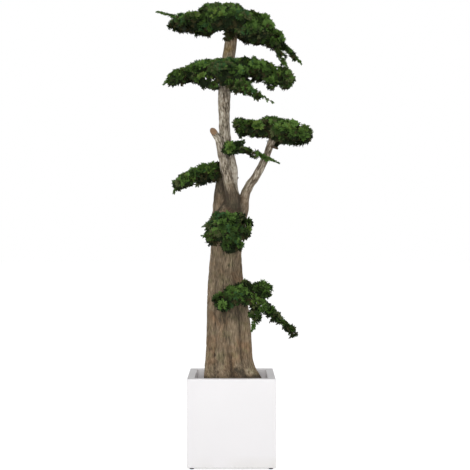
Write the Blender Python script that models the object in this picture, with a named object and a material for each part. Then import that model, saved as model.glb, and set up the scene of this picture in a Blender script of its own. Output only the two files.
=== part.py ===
"""A preserved juniper trained in tiers, standing in a square white planter.

Places are in metres from the middle of the pot at floor level. The tree's front faces -Y and +Z is up.
A fluted and ribbed trunk rises from the pot and runs on as a thin leader to the crown. Three limbs leave
its fork. Each mass of foliage is a smaller core with toothed sprays standing out of it, fused into one solid.
Its stem starts at the trunk or at a bough's tip, its twigs run from that stem to every lobe and trail beyond
them, and a spray that would leave the mass's own space or touch wood is skipped.
"""

import math
import random

import bmesh
import bpy
import numpy as np
from mathutils import Matrix, Vector, noise
from mathutils.bvhtree import BVHTree

# Planter
POT_SIDE = 0.457
POT_HEIGHT = 0.457
RIM_WIDTH = 0.040
POT_FLOOR = 0.020
POT_EDGE = 0.004
FOOT_HEIGHT = 0.008
FOOT_RADIUS = 0.012
FOOT_INSET = 0.025
FILL_BELOW_RIM = 0.060
GAP = 0.0003

POT_BASE = FOOT_HEIGHT + GAP
RIM_HEIGHT = POT_BASE + POT_HEIGHT
CAVITY = POT_SIDE - 2 * RIM_WIDTH
FILL_TOP = RIM_HEIGHT - FILL_BELOW_RIM
GROUND = FILL_TOP + GAP

# Trunk: height, middle x, middle y, half width, half depth
TRUNK = (
    (GROUND, 0.002, 0.000, 0.144, 0.140),
    (0.445, -0.001, 0.000, 0.142, 0.134),
    (0.505, -0.012, 0.000, 0.129, 0.120),
    (0.569, -0.015, 0.000, 0.121, 0.112),
    (0.720, -0.016, 0.000, 0.115, 0.106),
    (0.857, -0.022, 0.000, 0.105, 0.098),
    (0.985, -0.029, 0.000, 0.090, 0.087),
    (1.113, -0.027, 0.000, 0.081, 0.080),
    (1.241, -0.022, 0.000, 0.081, 0.077),
    (1.305, -0.022, 0.000, 0.075, 0.068),
    (1.360, -0.002, 0.002, 0.050, 0.050),
    (1.405, 0.007, 0.006, 0.037, 0.040),
    (1.466, 0.001, 0.018, 0.033, 0.034),
    (1.563, -0.001, 0.024, 0.033, 0.032),
    (1.627, -0.014, 0.016, 0.031, 0.031),
    (1.722, -0.033, 0.002, 0.031, 0.031),
    (1.818, -0.038, 0.000, 0.029, 0.029),
    (1.946, -0.038, 0.000, 0.033, 0.033),
    (2.074, -0.026, 0.000, 0.034, 0.033),
    (2.170, -0.012, 0.000, 0.034, 0.033),
    (2.266, 0.002, 0.000, 0.030, 0.029),
    (2.345, 0.012, 0.000, 0.019, 0.018),
)
TRUNK_SIDES = 48
TRUNK_RINGS_PER_SPAN = 2
FLUTES = 5
FLUTE_DEPTH = 0.045
FLUTE_TOP = 1.30
FLUTE_FADE = 0.30
FLUTE_TWIST = 2.2
ROOT_RISE = 0.050
# Roots: bearing in degrees from +X, how far the foot swells there, half angle in degrees
ROOTS = (
    (-6, 0.032, 18),
    (-62, 0.016, 18),
    (-128, 0.014, 22),
    (176, 0.010, 20),
    (112, 0.018, 22),
    (48, 0.016, 20),
)
# Ribs and furrows of the trunk: bearing at its lowest and at its highest place, those two heights, half angle
# in degrees, and how far it stands out, where less than nothing is a furrow
RIBS = (
    (-86, -84, 0.20, 0.68, 7, -0.013),
    (-46, -54, 0.20, 0.90, 8, -0.008),
    (-128, -136, 0.24, 1.16, 8, -0.007),
    (-104, -98, 0.62, 1.34, 7, -0.007),
    (-68, -74, 0.66, 1.34, 9, 0.005),
    (-152, -146, 0.36, 1.30, 10, 0.005),
    (-24, -30, 0.44, 1.24, 10, 0.005),
    (-108, -116, 0.20, 0.80, 8, 0.005),
    (98, 106, 0.20, 1.06, 9, -0.012),
    (28, 36, 0.60, 1.30, 8, -0.009),
    (162, 154, 0.30, 0.90, 8, -0.009),
    (62, 68, 0.32, 1.26, 11, 0.006),
    (132, 126, 0.44, 1.30, 11, 0.006),
    (4, -2, 0.46, 1.14, 8, -0.006),
)
RIB_FADE = 0.12

# Limbs: x, y, z, radius
LEFT_LIMB = (
    (-0.058, 0.000, 1.225, 0.034),
    (-0.063, 0.000, 1.290, 0.036),
    (-0.065, 0.004, 1.338, 0.036),
    (-0.064, 0.008, 1.391, 0.034),
    (-0.062, 0.010, 1.434, 0.031),
    (-0.059, 0.010, 1.475, 0.026),
    (-0.062, 0.010, 1.512, 0.020),
)
TWISTED_LIMB = (
    (0.006, -0.010, 1.327, 0.032),
    (0.005, -0.022, 1.364, 0.033),
    (0.002, -0.034, 1.400, 0.032),
    (-0.005, -0.044, 1.442, 0.030),
    (-0.014, -0.050, 1.482, 0.028),
    (-0.034, -0.050, 1.558, 0.026),
    (-0.042, -0.048, 1.601, 0.024),
    (-0.052, -0.042, 1.644, 0.023),
    (-0.062, -0.038, 1.687, 0.021),
    (-0.073, -0.038, 1.718, 0.018),
    (-0.090, -0.040, 1.745, 0.015),
    (-0.106, -0.044, 1.768, 0.013),
)
RIGHT_BOUGH = (
    (0.036, 0.000, 1.235, 0.029),
    (0.054, 0.000, 1.295, 0.028),
    (0.064, 0.000, 1.345, 0.027),
    (0.070, -0.002, 1.391, 0.025),
    (0.079, -0.006, 1.433, 0.024),
    (0.095, -0.014, 1.465, 0.023),
    (0.137, -0.030, 1.528, 0.022),
    (0.171, -0.045, 1.592, 0.020),
    (0.187, -0.055, 1.624, 0.018),
    (0.199, -0.064, 1.660, 0.017),
    (0.216, -0.072, 1.708, 0.017),
)
LIMB_SIDES = 8
LIMB_RINGS_PER_SPAN = 2
STEM_SIDES = 5
TWIG_SIDES = 3
TWIG_RINGS_PER_SPAN = 1

# Spaces: how far a core, a spray and a cut keep from what isn't theirs
CELL_MARGIN = 0.004
SPRAY_MARGIN = 0.002
LIMB_CLEARANCE = 0.003
LIMB_GAP = 0.0005

# Cores: share of the lobe that a core fills, how lumpy it is, and how its points draw in
CORE_SHARE = 0.90
CORE_LUMP = 0.16
CORE_LUMPS = 2.4
CORE_LEAST = 0.10
CORE_STEP = 0.04
LARGE_LOBE = 0.015
LUMP_SHIFT = 3.7

# Sprays: the outline runs from the root over a side tooth and a notch to the tip and back. Each of these
# points is a share of the length along the stem and a share of the width to the side.
SPRAY_WIDTH = 0.86
SPRAY_THICKNESS = 0.050
SPRAY_TOOTH = (0.66, 0.50)
SPRAY_NOTCH = (0.72, 0.20)
SPRAY_RIDGE = 0.55
SUNK_SHARE = 0.32
HIDDEN_SHARE = 0.81
SIZE_RANGE = (0.8, 1.15)
# How strongly a spray points away from its lobe's middle, square to its skin, away from the stem, and astray
SPRAY_LEANS = (0.7, 0.35, 0.4, 0.3)
SPREAD_JITTER = 0.12
UP_JITTER = 0.4
UP_LIFT = 0.3
EDGE_ON = 0.93

# Trailing twigs
TAIL_STEP = 0.036
TAIL_POINTS = 12
TAIL_JITTER = 0.25
TAIL_LEANS = (0.8, 0.6)
TAIL_SIZES = (0.55, 0.75)
TAIL_SUNK = 0.006
TWIG_RADIUS = 0.0035
TWIG_SAG = 0.2

# Each mass has its stem: a point inside the limb that it leaves, a bend and a radius. It has its lobes: a
# middle, three half sizes along X, Y and Z, and how many degrees the +X end falls. It has the points that
# each trailing twig runs through, and how many sprays its lobes get and how long those are.
MASSES = {
    "crown_left": {
        "stem": ((0.008, 0.0, 2.285), (-0.045, -0.004, 2.320), 0.014),
        "lobes": (
            ((-0.205, 0.000, 2.342), (0.135, 0.150, 0.052), -4),
            ((-0.090, 0.000, 2.373), (0.092, 0.130, 0.066), 0),
            ((-0.112, -0.020, 2.302), (0.092, 0.100, 0.040), 0),
        ),
        "tails": (((-0.290, 0.020, 2.356), (-0.338, 0.045, 2.374), (-0.388, 0.062, 2.387)),),
        "sprays": (34, 0.086),
    },
    "crown_right": {
        "stem": ((0.010, 0.0, 2.280), (0.062, 0.0, 2.305), 0.014),
        "lobes": (
            ((0.124, 0.000, 2.330), (0.128, 0.150, 0.070), 22),
            ((0.222, -0.005, 2.254), (0.088, 0.110, 0.056), 45),
            ((0.282, 0.010, 2.180), (0.066, 0.050, 0.030), 52),
            ((0.104, -0.020, 2.276), (0.100, 0.100, 0.040), 12),
            ((0.262, -0.046, 2.148), (0.022, 0.026, 0.050), -12),
        ),
        "tails": (
            ((0.306, 0.012, 2.186), (0.340, 0.015, 2.156), (0.372, 0.015, 2.122)),
            ((0.266, -0.052, 2.136), (0.280, -0.066, 2.114), (0.290, -0.076, 2.092)),
        ),
        "sprays": (38, 0.082),
    },
    "crown_front": {
        "stem": ((0.006, 0.0, 2.262), (0.008, -0.060, 2.285), 0.011),
        "lobes": (
            ((-0.016, -0.165, 2.322), (0.120, 0.095, 0.056), 4),
            ((0.104, -0.160, 2.262), (0.088, 0.070, 0.048), 12),
        ),
        "tails": (),
        "sprays": (24, 0.084),
    },
    "crown_back": {
        "stem": ((0.010, 0.0, 2.292), (0.012, 0.060, 2.318), 0.011),
        "lobes": (
            ((-0.050, 0.175, 2.366), (0.128, 0.100, 0.055), 0),
            ((0.112, 0.165, 2.314), (0.102, 0.090, 0.052), 18),
        ),
        "tails": (),
        "sprays": (21, 0.086),
    },
    "tier_left": {
        "stem": ((-0.028, 0.0, 2.050), (-0.075, 0.0, 2.070), 0.013),
        "lobes": (
            ((-0.155, 0.000, 2.066), (0.140, 0.150, 0.056), -12),
            ((-0.268, -0.010, 2.036), (0.084, 0.090, 0.038), -14),
        ),
        "tails": (((-0.300, -0.020, 2.028), (-0.328, -0.028, 2.018), (-0.350, -0.034, 2.006)),),
        "sprays": (30, 0.082),
    },
    "tier_right": {
        "stem": ((-0.022, 0.0, 2.060), (0.030, 0.0, 2.085), 0.013),
        "lobes": (
            ((0.128, 0.000, 2.096), (0.136, 0.150, 0.053), 8),
            ((0.272, 0.000, 2.052), (0.064, 0.085, 0.050), 10),
            ((0.204, -0.025, 2.024), (0.054, 0.060, 0.032), 0),
        ),
        "tails": (),
        "sprays": (34, 0.080),
    },
    "tier_front": {
        "stem": ((-0.026, 0.0, 2.030), (-0.020, -0.070, 2.046), 0.012),
        "lobes": (
            ((-0.020, -0.160, 2.050), (0.112, 0.088, 0.066), 5),
            ((-0.116, -0.120, 2.006), (0.080, 0.070, 0.034), 0),
            ((0.052, -0.200, 1.984), (0.072, 0.050, 0.034), 22),
            ((0.136, -0.212, 1.932), (0.068, 0.040, 0.026), 28),
        ),
        "tails": (((0.156, -0.214, 1.918), (0.190, -0.218, 1.896), (0.219, -0.222, 1.872)),),
        "sprays": (30, 0.078),
    },
    "tier_back": {
        "stem": ((-0.024, 0.0, 2.070), (-0.020, 0.070, 2.090), 0.012),
        "lobes": (
            ((-0.040, 0.170, 2.102), (0.132, 0.105, 0.052), -4),
            ((0.082, 0.180, 2.072), (0.074, 0.080, 0.044), 10),
        ),
        "tails": (((-0.095, 0.232, 2.080), (-0.120, 0.252, 2.064), (-0.142, 0.268, 2.044)),),
        "sprays": (21, 0.082),
    },
    "right_pad": {
        "stem": ((0.214, -0.071, 1.702), (0.232, -0.080, 1.735), 0.013),
        "lobes": (
            ((0.290, -0.090, 1.756), (0.126, 0.130, 0.066), 6),
            ((0.134, -0.090, 1.773), (0.106, 0.115, 0.050), 2),
            ((0.044, -0.095, 1.786), (0.050, 0.070, 0.042), 0),
            ((0.368, -0.090, 1.734), (0.066, 0.090, 0.056), 0),
        ),
        "tails": (),
        "sprays": (40, 0.078),
    },
    "side_sprig": {
        "stem": ((-0.018, 0.010, 1.640), (-0.004, -0.045, 1.672), 0.008),
        "lobes": (
            ((0.008, -0.115, 1.668), (0.054, 0.048, 0.032), 5),
            ((0.066, -0.125, 1.650), (0.048, 0.032, 0.024), 12),
            ((0.134, -0.130, 1.622), (0.050, 0.026, 0.015), 22),
        ),
        "tails": (((0.150, -0.130, 1.616), (0.200, -0.132, 1.598), (0.246, -0.132, 1.580)),),
        "sprays": (11, 0.060),
    },
    "left_pad": {
        "stem": ((-0.062, 0.010, 1.506), (-0.092, 0.008, 1.526), 0.011),
        "lobes": (
            ((-0.138, 0.000, 1.528), (0.108, 0.110, 0.055), -14),
            ((-0.250, 0.000, 1.487), (0.072, 0.075, 0.038), -24),
        ),
        "tails": (((-0.290, 0.000, 1.466), (-0.304, 0.000, 1.444), (-0.312, 0.000, 1.420)),),
        "sprays": (24, 0.074),
    },
    "trunk_collar": {
        "stem": ((-0.026, -0.040, 1.225), (-0.026, -0.120, 1.235), 0.010),
        "lobes": (
            ((-0.026, -0.122, 1.240), (0.110, 0.066, 0.080), 0),
            ((-0.122, -0.066, 1.226), (0.046, 0.060, 0.074), 0),
            ((0.074, -0.066, 1.244), (0.042, 0.060, 0.064), 0),
            ((0.000, -0.130, 1.152), (0.070, 0.046, 0.042), 0),
        ),
        "tails": (
            ((-0.120, -0.100, 1.266), (-0.142, -0.104, 1.272), (-0.160, -0.106, 1.276)),
            ((-0.120, -0.104, 1.198), (-0.144, -0.108, 1.200), (-0.163, -0.110, 1.204)),
        ),
        "sprays": (28, 0.070),
    },
    "low_spray": {
        "stem": ((0.010, -0.040, 0.880), (0.050, -0.118, 0.900), 0.011),
        "lobes": (
            ((0.034, -0.142, 0.898), (0.090, 0.055, 0.046), -6),
            ((0.148, -0.110, 0.918), (0.066, 0.065, 0.050), 0),
            ((-0.048, -0.140, 0.852), (0.040, 0.044, 0.048), -30),
            ((0.122, -0.156, 0.842), (0.086, 0.044, 0.038), 34),
            ((0.220, -0.140, 0.800), (0.090, 0.038, 0.032), 42),
            ((0.112, -0.150, 0.775), (0.022, 0.028, 0.058), 0),
        ),
        "tails": (
            ((0.262, -0.136, 0.762), (0.306, -0.134, 0.716), (0.348, -0.130, 0.673)),
            ((0.116, -0.148, 0.750), (0.114, -0.145, 0.728), (0.106, -0.140, 0.704)),
        ),
        "sprays": (25, 0.068),
    },
}

# Colours, as linear red, green and blue
WHITE = (0.85, 0.84, 0.84)
DARK_RUBBER = (0.06, 0.06, 0.06)
MULCH = (0.07, 0.045, 0.03)
BARK = (0.16, 0.12, 0.08)
PALE_BARK = (0.24, 0.20, 0.15)
LEAF_GREEN = (0.022, 0.052, 0.014)


def clear_scene():
    for obj in list(bpy.data.objects):
        bpy.data.objects.remove(obj)


def material(name, colour, roughness, metallic=0.0):
    made = bpy.data.materials.new(name)
    made.use_nodes = True
    shader = made.node_tree.nodes["Principled BSDF"]
    shader.inputs["Base Color"].default_value = (*colour, 1.0)
    shader.inputs["Roughness"].default_value = roughness
    shader.inputs["Metallic"].default_value = metallic
    return made


def add_object(name, points, faces, finish):
    mesh = bpy.data.meshes.new(name)
    mesh.from_pydata([tuple(p) for p in points], [], faces)
    mesh.materials.append(finish)
    obj = bpy.data.objects.new(name, mesh)
    bpy.context.scene.collection.objects.link(obj)
    return obj


def shade_round(obj, angle=40):
    obj.data.shade_smooth()
    obj.data.set_sharp_from_angle(angle=math.radians(angle))


def smooth(stations, per_span):
    """Points of a Catmull-Rom curve through the stations, with whatever sizes follow x, y and z."""
    knots = np.array(stations, float)
    ends = np.vstack([2 * knots[0] - knots[1], knots, 2 * knots[-1] - knots[-2]])
    found = []
    for i in range(len(knots) - 1):
        a, b, c, d = ends[i : i + 4]
        for step in range(per_span):
            t = step / per_span
            bend = (2 * a - 5 * b + 4 * c - d) * t**2
            swing = (3 * b - 3 * c + d - a) * t**3
            found.append(b + (c - a) * t / 2 + bend / 2 + swing / 2)
    found.append(knots[-1])
    return [point.tolist() for point in found]


def skin(rings):
    """Faces that join equal rings of points in turn, with a flat cap on each end."""
    sides = len(rings[0])
    points = [p for ring in rings for p in ring]
    faces = [tuple(reversed(range(sides)))]
    for r in range(len(rings) - 1):
        low, high = r * sides, (r + 1) * sides
        for i in range(sides):
            j = (i + 1) % sides
            faces.append((low + i, low + j, high + j, high + i))
    faces.append(tuple(range(len(points) - sides, len(points))))
    return points, faces


def tube(stations, sides, per_span=LIMB_RINGS_PER_SPAN):
    """A limb that tapers through stations of x, y, z and radius, with its rings square to its path."""
    path = smooth(stations, per_span)
    across = Vector((0, 1, 0))
    rings = []
    for i, station in enumerate(path):
        before, after = path[max(i - 1, 0)], path[min(i + 1, len(path) - 1)]
        along = (Vector(after[:3]) - Vector(before[:3])).normalized()
        across = (across - along * across.dot(along)).normalized()
        up = along.cross(across)
        middle = Vector(station[:3])
        turns = [2 * math.pi * k / sides for k in range(sides)]
        rings.append([middle + station[3] * (across * math.cos(t) + up * math.sin(t)) for t in turns])
    return skin(rings)


def root_swell(bearing, height):
    """How far the foot of the trunk stands out at this bearing and height."""
    swell = 0.0
    for middle, size, half_angle in ROOTS:
        off = (math.degrees(bearing) - middle + 180) % 360 - 180
        swell += size * math.exp(-((off / half_angle) ** 2))
    return swell * math.exp(-(height - GROUND) / ROOT_RISE)


def rib_swell(bearing, height):
    """How far ribs and furrows make the trunk stand out at this bearing and height."""
    swell = 0.0
    for foot_bearing, top_bearing, low, high, half_angle, rise in RIBS:
        middle = foot_bearing + (top_bearing - foot_bearing) * (height - low) / (high - low)
        off = (math.degrees(bearing) - middle + 180) % 360 - 180
        length = max(0.0, min(1.0, (height - low) / RIB_FADE, (high - height) / RIB_FADE))
        swell += rise * length * math.exp(-((off / half_angle) ** 2))
    return swell


def trunk_rings():
    rings = []
    for z, x, y, half_width, half_depth in smooth(TRUNK, TRUNK_RINGS_PER_SPAN):
        ring = []
        depth = FLUTE_DEPTH * max(0.0, min(1.0, (FLUTE_TOP - z) / FLUTE_FADE))
        for k in range(TRUNK_SIDES):
            turn = 2 * math.pi * k / TRUNK_SIDES
            flute = 1 + depth * math.cos(FLUTES * turn + FLUTE_TWIST * z)
            out = root_swell(turn, z) + rib_swell(turn, z)
            side = x + math.cos(turn) * (half_width * flute + out)
            deep = y + math.sin(turn) * (half_depth * flute + out)
            ring.append(Vector((side, deep, z)))
        rings.append(ring)
    return rings


def swollen(points, faces, by):
    """The same closed skin with every point moved out by this much."""
    work = bmesh.new()
    verts = [work.verts.new(p) for p in points]
    for face in faces:
        work.faces.new([verts[i] for i in face])
    work.normal_update()
    moved = [v.co + v.normal * by for v in verts]
    work.free()
    return moved


def boolean(obj, operation, solids):
    """Joins the solids to obj, or cuts them from it, for good, and removes them."""
    holder = bpy.data.collections.new("working_solids")
    bpy.context.scene.collection.children.link(holder)
    for solid in solids:
        for owner in solid.users_collection:
            owner.objects.unlink(solid)
        holder.objects.link(solid)
    change = obj.modifiers.new("join", "BOOLEAN")
    change.operation = operation
    change.operand_type = "COLLECTION"
    change.collection = holder
    change.solver = "EXACT"
    bpy.context.view_layer.update()
    graph = bpy.context.evaluated_depsgraph_get()
    made = bpy.data.meshes.new_from_object(obj.evaluated_get(graph))
    obj.modifiers.clear()
    obj.data = made
    for solid in list(holder.objects):
        bpy.data.objects.remove(solid)
    bpy.data.collections.remove(holder)


def keep_largest_shell(obj):
    """Drops loose scraps and the walls of sealed hollows, which fills those hollows."""
    work = bmesh.new()
    work.from_mesh(obj.data)
    bmesh.ops.remove_doubles(work, verts=work.verts, dist=2e-6)
    bmesh.ops.triangulate(work, faces=work.faces)
    left = set(work.verts)
    shells = []
    while left:
        shell, open_ends = set(), [left.pop()]
        while open_ends:
            vert = open_ends.pop()
            shell.add(vert)
            for edge in vert.link_edges:
                other = edge.other_vert(vert)
                if other in left:
                    left.discard(other)
                    open_ends.append(other)
        shells.append(shell)
    largest = max(shells, key=len)
    bmesh.ops.delete(work, geom=[v for s in shells if s is not largest for v in s], context="VERTS")
    work.to_mesh(obj.data)
    work.free()


def lobe_axes(lobe):
    return Matrix.Rotation(math.radians(lobe[2]), 3, "Y")


def within_lobe(lobe, point):
    """The point in the lobe's own units, where its skin is at length 1."""
    local = lobe_axes(lobe).transposed() @ (point - Vector(lobe[0]))
    return Vector(a / b for a, b in zip(local, lobe[1]))


def level(mass, point):
    """How far the point lies outside the mass's lobes, roughly in metres."""
    return min((within_lobe(lobe, point).length - 1) * min(lobe[1]) for lobe in MASSES[mass]["lobes"])


def in_own_space(mass, point, margin):
    own = level(mass, point)
    return all(own + margin < level(other, point) for other in MASSES if other != mass)


def lobe_core(mass, lobe, seed):
    """A lumpy core inside one lobe, drawn in wherever it would leave the mass's own space."""
    work = bmesh.new()
    finer = lobe[1][0] * lobe[1][1] > LARGE_LOBE
    bmesh.ops.create_icosphere(work, subdivisions=3 if finer else 2, radius=1.0)
    middle, axes = Vector(lobe[0]), lobe_axes(lobe)
    for vert in work.verts:
        way = vert.co.copy()
        lump = 1 + CORE_LUMP * noise.noise(way * CORE_LUMPS + Vector((seed, 0, 0)))
        reach = axes @ Vector(a * b for a, b in zip(way, lobe[1])) * CORE_SHARE * lump
        share = 1.0
        while share > CORE_LEAST and not in_own_space(mass, middle + reach * share, CELL_MARGIN):
            share -= CORE_STEP
        vert.co = middle + reach * share
    points = [v.co.copy() for v in work.verts]
    faces = [tuple(v.index for v in f.verts) for f in work.faces]
    work.free()
    return points, faces


def spray(root, along, face_up, length):
    """A toothed blade of twelve faces: a tip between two side teeth, its root sunk in what it grows from."""
    across = along.cross(face_up).normalized()
    normal = across.cross(along).normalized()
    left = [SPRAY_TOOTH, SPRAY_NOTCH]
    right = [(u, -v) for u, v in reversed(left)]
    outline = [(0.0, 0.0), *left, (1.0, 0.0), *right]
    points = [root + along * (u * length) + across * (v * SPRAY_WIDTH * length) for u, v in outline]
    ridge = root + along * SPRAY_RIDGE * length
    top, bottom = len(points), len(points) + 1
    half = normal * (SPRAY_THICKNESS * length / 2)
    points += [ridge + half, ridge - half]
    faces = []
    for i in range(len(outline)):
        j = (i + 1) % len(outline)
        faces += [(i, j, top), (j, i, bottom)]
    return points, faces


def spread_evenly(count):
    """Directions spread evenly over a sphere."""
    for i in range(count):
        height = 1 - 2 * (i + 0.5) / count
        turn = math.pi * (1 + 5**0.5) * i
        flat = math.sqrt(1 - height * height)
        yield Vector((flat * math.cos(turn), flat * math.sin(turn), height))


def lobe_sprays(mass, chance):
    """Sprays that stand out of each lobe, leaning away from the place where the stem starts."""
    facts = MASSES[mass]
    total, length = facts["sprays"]
    start = Vector(facts["stem"][0])
    areas = [lobe[1][0] * lobe[1][1] for lobe in facts["lobes"]]
    from_middle, from_skin, from_stem, astray = SPRAY_LEANS
    for lobe, area in zip(facts["lobes"], areas):
        middle, axes = Vector(lobe[0]), lobe_axes(lobe)
        others = [other for other in facts["lobes"] if other is not lobe]
        for way in spread_evenly(round(total * area / sum(areas))):
            jitter = Vector(chance.uniform(-1, 1) for _ in range(3))
            way = (way + jitter * SPREAD_JITTER).normalized()
            seat = middle + axes @ Vector(a * b for a, b in zip(way, lobe[1])) * CORE_SHARE
            if any(within_lobe(other, seat).length < HIDDEN_SHARE for other in others):
                continue
            out = (axes @ Vector(a / b for a, b in zip(way, lobe[1]))).normalized()
            spoke = (seat - middle).normalized()
            sweep = (seat - start).normalized()
            along = (spoke * from_middle + out * from_skin + sweep * from_stem + jitter * astray).normalized()
            size = length * chance.uniform(*SIZE_RANGE)
            face_up = (out + jitter.zxy * UP_JITTER + Vector((0, 0, UP_LIFT))).normalized()
            if abs(face_up.dot(along)) > EDGE_ON:
                face_up = along.orthogonal().normalized()
            yield seat - along * size * SUNK_SHARE, along, face_up, size


def tail_sprays(tail, length, chance):
    """Sprays to each side of a trailing twig in turn, and one at its tip."""
    path = [Vector(point) for point in smooth(tail, TAIL_POINTS)]
    onward, sideways = TAIL_LEANS
    gone, side = 0.0, 1
    for before, after in zip(path, path[1:]):
        gone += (after - before).length
        if gone < TAIL_STEP:
            continue
        gone = 0.0
        side = -side
        along = (after - before).normalized()
        flat = along.cross(Vector((0, 0, 1))).normalized()
        lean = Vector(chance.uniform(-TAIL_JITTER, TAIL_JITTER) for _ in range(3))
        way = (along * onward + flat * side * sideways + lean).normalized()
        face_up = Vector((lean.x, lean.y, 1)).normalized()
        yield before - way * TAIL_SUNK, way, face_up, length * chance.uniform(*TAIL_SIZES)
    tip = length / 2
    yield path[-1] - along * tip, along, Vector((0, 0, 1)), tip


def twig_routes(mass):
    """The stem to the first lobe, a twig from there into each other lobe, and each trailing twig."""
    facts = MASSES[mass]
    start, elbow, radius = facts["stem"]
    hub = Vector(facts["lobes"][0][0])
    yield ((*start, radius), (*elbow, radius * 0.8), (*hub, radius * 0.6)), STEM_SIDES
    for lobe in facts["lobes"][1:]:
        middle = Vector(lobe[0])
        bend = hub.lerp(middle, 0.5) - Vector((0, 0, TWIG_SAG * lobe[1][2]))
        yield ((*hub, radius * 0.6), (*bend, radius * 0.5), (*middle, radius * 0.4)), TWIG_SIDES
    for first, second, last in facts["tails"]:
        near = min(facts["lobes"], key=lambda lobe: (Vector(lobe[0]) - Vector(first)).length)
        points = (near[0], first, second, last)
        sizes = (1.4, 1.2, 1.0, 0.6)
        yield [(*point, TWIG_RADIUS * size) for point, size in zip(points, sizes)], TWIG_SIDES


def tree_of(points, faces):
    return BVHTree.FromPolygons([tuple(p) for p in points], faces)


def touches(shape, blockers):
    tree = tree_of(*shape)
    return any(tree.overlap(other) for other in blockers)


def mass_frame(mass, seed):
    """The cores of one mass, then its stem and twigs."""
    cores = [lobe_core(mass, lobe, seed) for lobe in MASSES[mass]["lobes"]]
    return cores + [tube(route, sides, TWIG_RINGS_PER_SPAN) for route, sides in twig_routes(mass)]


def mass_sprays(mass, blockers):
    """The sprays of one mass that stay in its own space, clear of the blockers."""
    facts = MASSES[mass]
    chance = random.Random(mass)
    blades = list(lobe_sprays(mass, chance))
    for tail in facts["tails"]:
        blades += tail_sprays(tail, facts["sprays"][1], chance)
    kept = []
    for root, along, face_up, size in blades:
        points, faces = spray(root, along, face_up, size)
        wide = (swollen(points, faces, LIMB_CLEARANCE), faces)
        if all(in_own_space(mass, p, SPRAY_MARGIN) for p in points) and not touches(wide, blockers):
            kept.append((points, faces))
    return kept


def fuse(name, shapes, finish):
    solids = [add_object("working_solid", points, faces, finish) for points, faces in shapes]
    solids[0].name = name
    boolean(solids[0], "UNION", solids[1:])
    return solids[0]


def soften(solid):
    bevel = solid.modifiers.new("softened_edges", "BEVEL")
    bevel.width = POT_EDGE
    bevel.segments = 2
    bevel.limit_method = "ANGLE"


def make_pot(finish):
    work = bmesh.new()
    bmesh.ops.create_cube(work, size=1.0)
    bmesh.ops.scale(work, vec=(POT_SIDE, POT_SIDE, POT_HEIGHT), verts=work.verts)
    bmesh.ops.translate(work, vec=(0, 0, POT_BASE + POT_HEIGHT / 2), verts=work.verts)
    top = max(work.faces, key=lambda f: f.calc_center_median().z)
    bmesh.ops.inset_region(work, faces=[top], thickness=RIM_WIDTH, use_even_offset=True)
    walls = bmesh.ops.extrude_discrete_faces(work, faces=[top])["faces"]
    bmesh.ops.translate(work, vec=(0, 0, POT_FLOOR - POT_HEIGHT), verts=walls[0].verts)
    bmesh.ops.recalc_face_normals(work, faces=work.faces)
    mesh = bpy.data.meshes.new("pot")
    work.to_mesh(mesh)
    work.free()
    mesh.materials.append(finish)
    pot = bpy.data.objects.new("pot", mesh)
    bpy.context.scene.collection.objects.link(pot)
    soften(pot)
    return pot


def make_feet(finish):
    reach = POT_SIDE / 2 - FOOT_INSET
    for front, y in (("front", -reach), ("back", reach)):
        for side, x in (("left", -reach), ("right", reach)):
            work = bmesh.new()
            bmesh.ops.create_cone(
                work,
                cap_ends=True,
                segments=20,
                radius1=FOOT_RADIUS,
                radius2=FOOT_RADIUS,
                depth=FOOT_HEIGHT,
            )
            mesh = bpy.data.meshes.new("pot_foot")
            work.to_mesh(mesh)
            work.free()
            mesh.materials.append(finish)
            foot = bpy.data.objects.new(f"pot_foot_{front}_{side}", mesh)
            foot.location = (x, y, FOOT_HEIGHT / 2)
            bpy.context.scene.collection.objects.link(foot)
            shade_round(foot)


def make_fill(finish):
    work = bmesh.new()
    bmesh.ops.create_cube(work, size=1.0)
    bottom = POT_BASE + POT_FLOOR + GAP
    side = CAVITY - 2 * GAP
    bmesh.ops.scale(work, vec=(side, side, FILL_TOP - bottom), verts=work.verts)
    bmesh.ops.translate(work, vec=(0, 0, (FILL_TOP + bottom) / 2), verts=work.verts)
    mesh = bpy.data.meshes.new("potting_fill")
    work.to_mesh(mesh)
    work.free()
    mesh.materials.append(finish)
    fill = bpy.data.objects.new("potting_fill", mesh)
    bpy.context.scene.collection.objects.link(fill)
    soften(fill)


def cutters(shapes, finish):
    return [add_object("working_cutter", swollen(p, f, LIMB_GAP), f, finish) for p, f in shapes]


def make_wood(bark, pale_bark):
    """The trunk and its three limbs. A limb's foot is cut to the trunk's skin, a hair clear of it."""
    shapes = {
        "trunk": skin(trunk_rings()),
        "left_limb": tube(LEFT_LIMB, LIMB_SIDES),
        "twisted_limb": tube(TWISTED_LIMB, LIMB_SIDES),
        "right_bough": tube(RIGHT_BOUGH, LIMB_SIDES),
    }
    ahead = []
    for name, (points, faces) in shapes.items():
        limb = add_object(name, points, faces, bark if name == "trunk" else pale_bark)
        if ahead:
            boolean(limb, "DIFFERENCE", cutters(ahead, bark))
            keep_largest_shell(limb)
        ahead.append((points, faces))
        shade_round(limb)
    return shapes


def make_foliage(wood, finish):
    frames = {mass: mass_frame(mass, number * LUMP_SHIFT) for number, mass in enumerate(MASSES)}
    grown = {mass: list(shapes) for mass, shapes in frames.items()}
    for mass in MASSES:
        blockers = [tree_of(*shape) for shape in wood.values()]
        blockers += [tree_of(*shape) for other in MASSES if other != mass for shape in grown[other]]
        grown[mass] += mass_sprays(mass, blockers)
    for mass, shapes in grown.items():
        obj = fuse(mass, shapes, finish)
        boolean(obj, "DIFFERENCE", cutters(wood.values(), finish))
        keep_largest_shell(obj)


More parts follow.
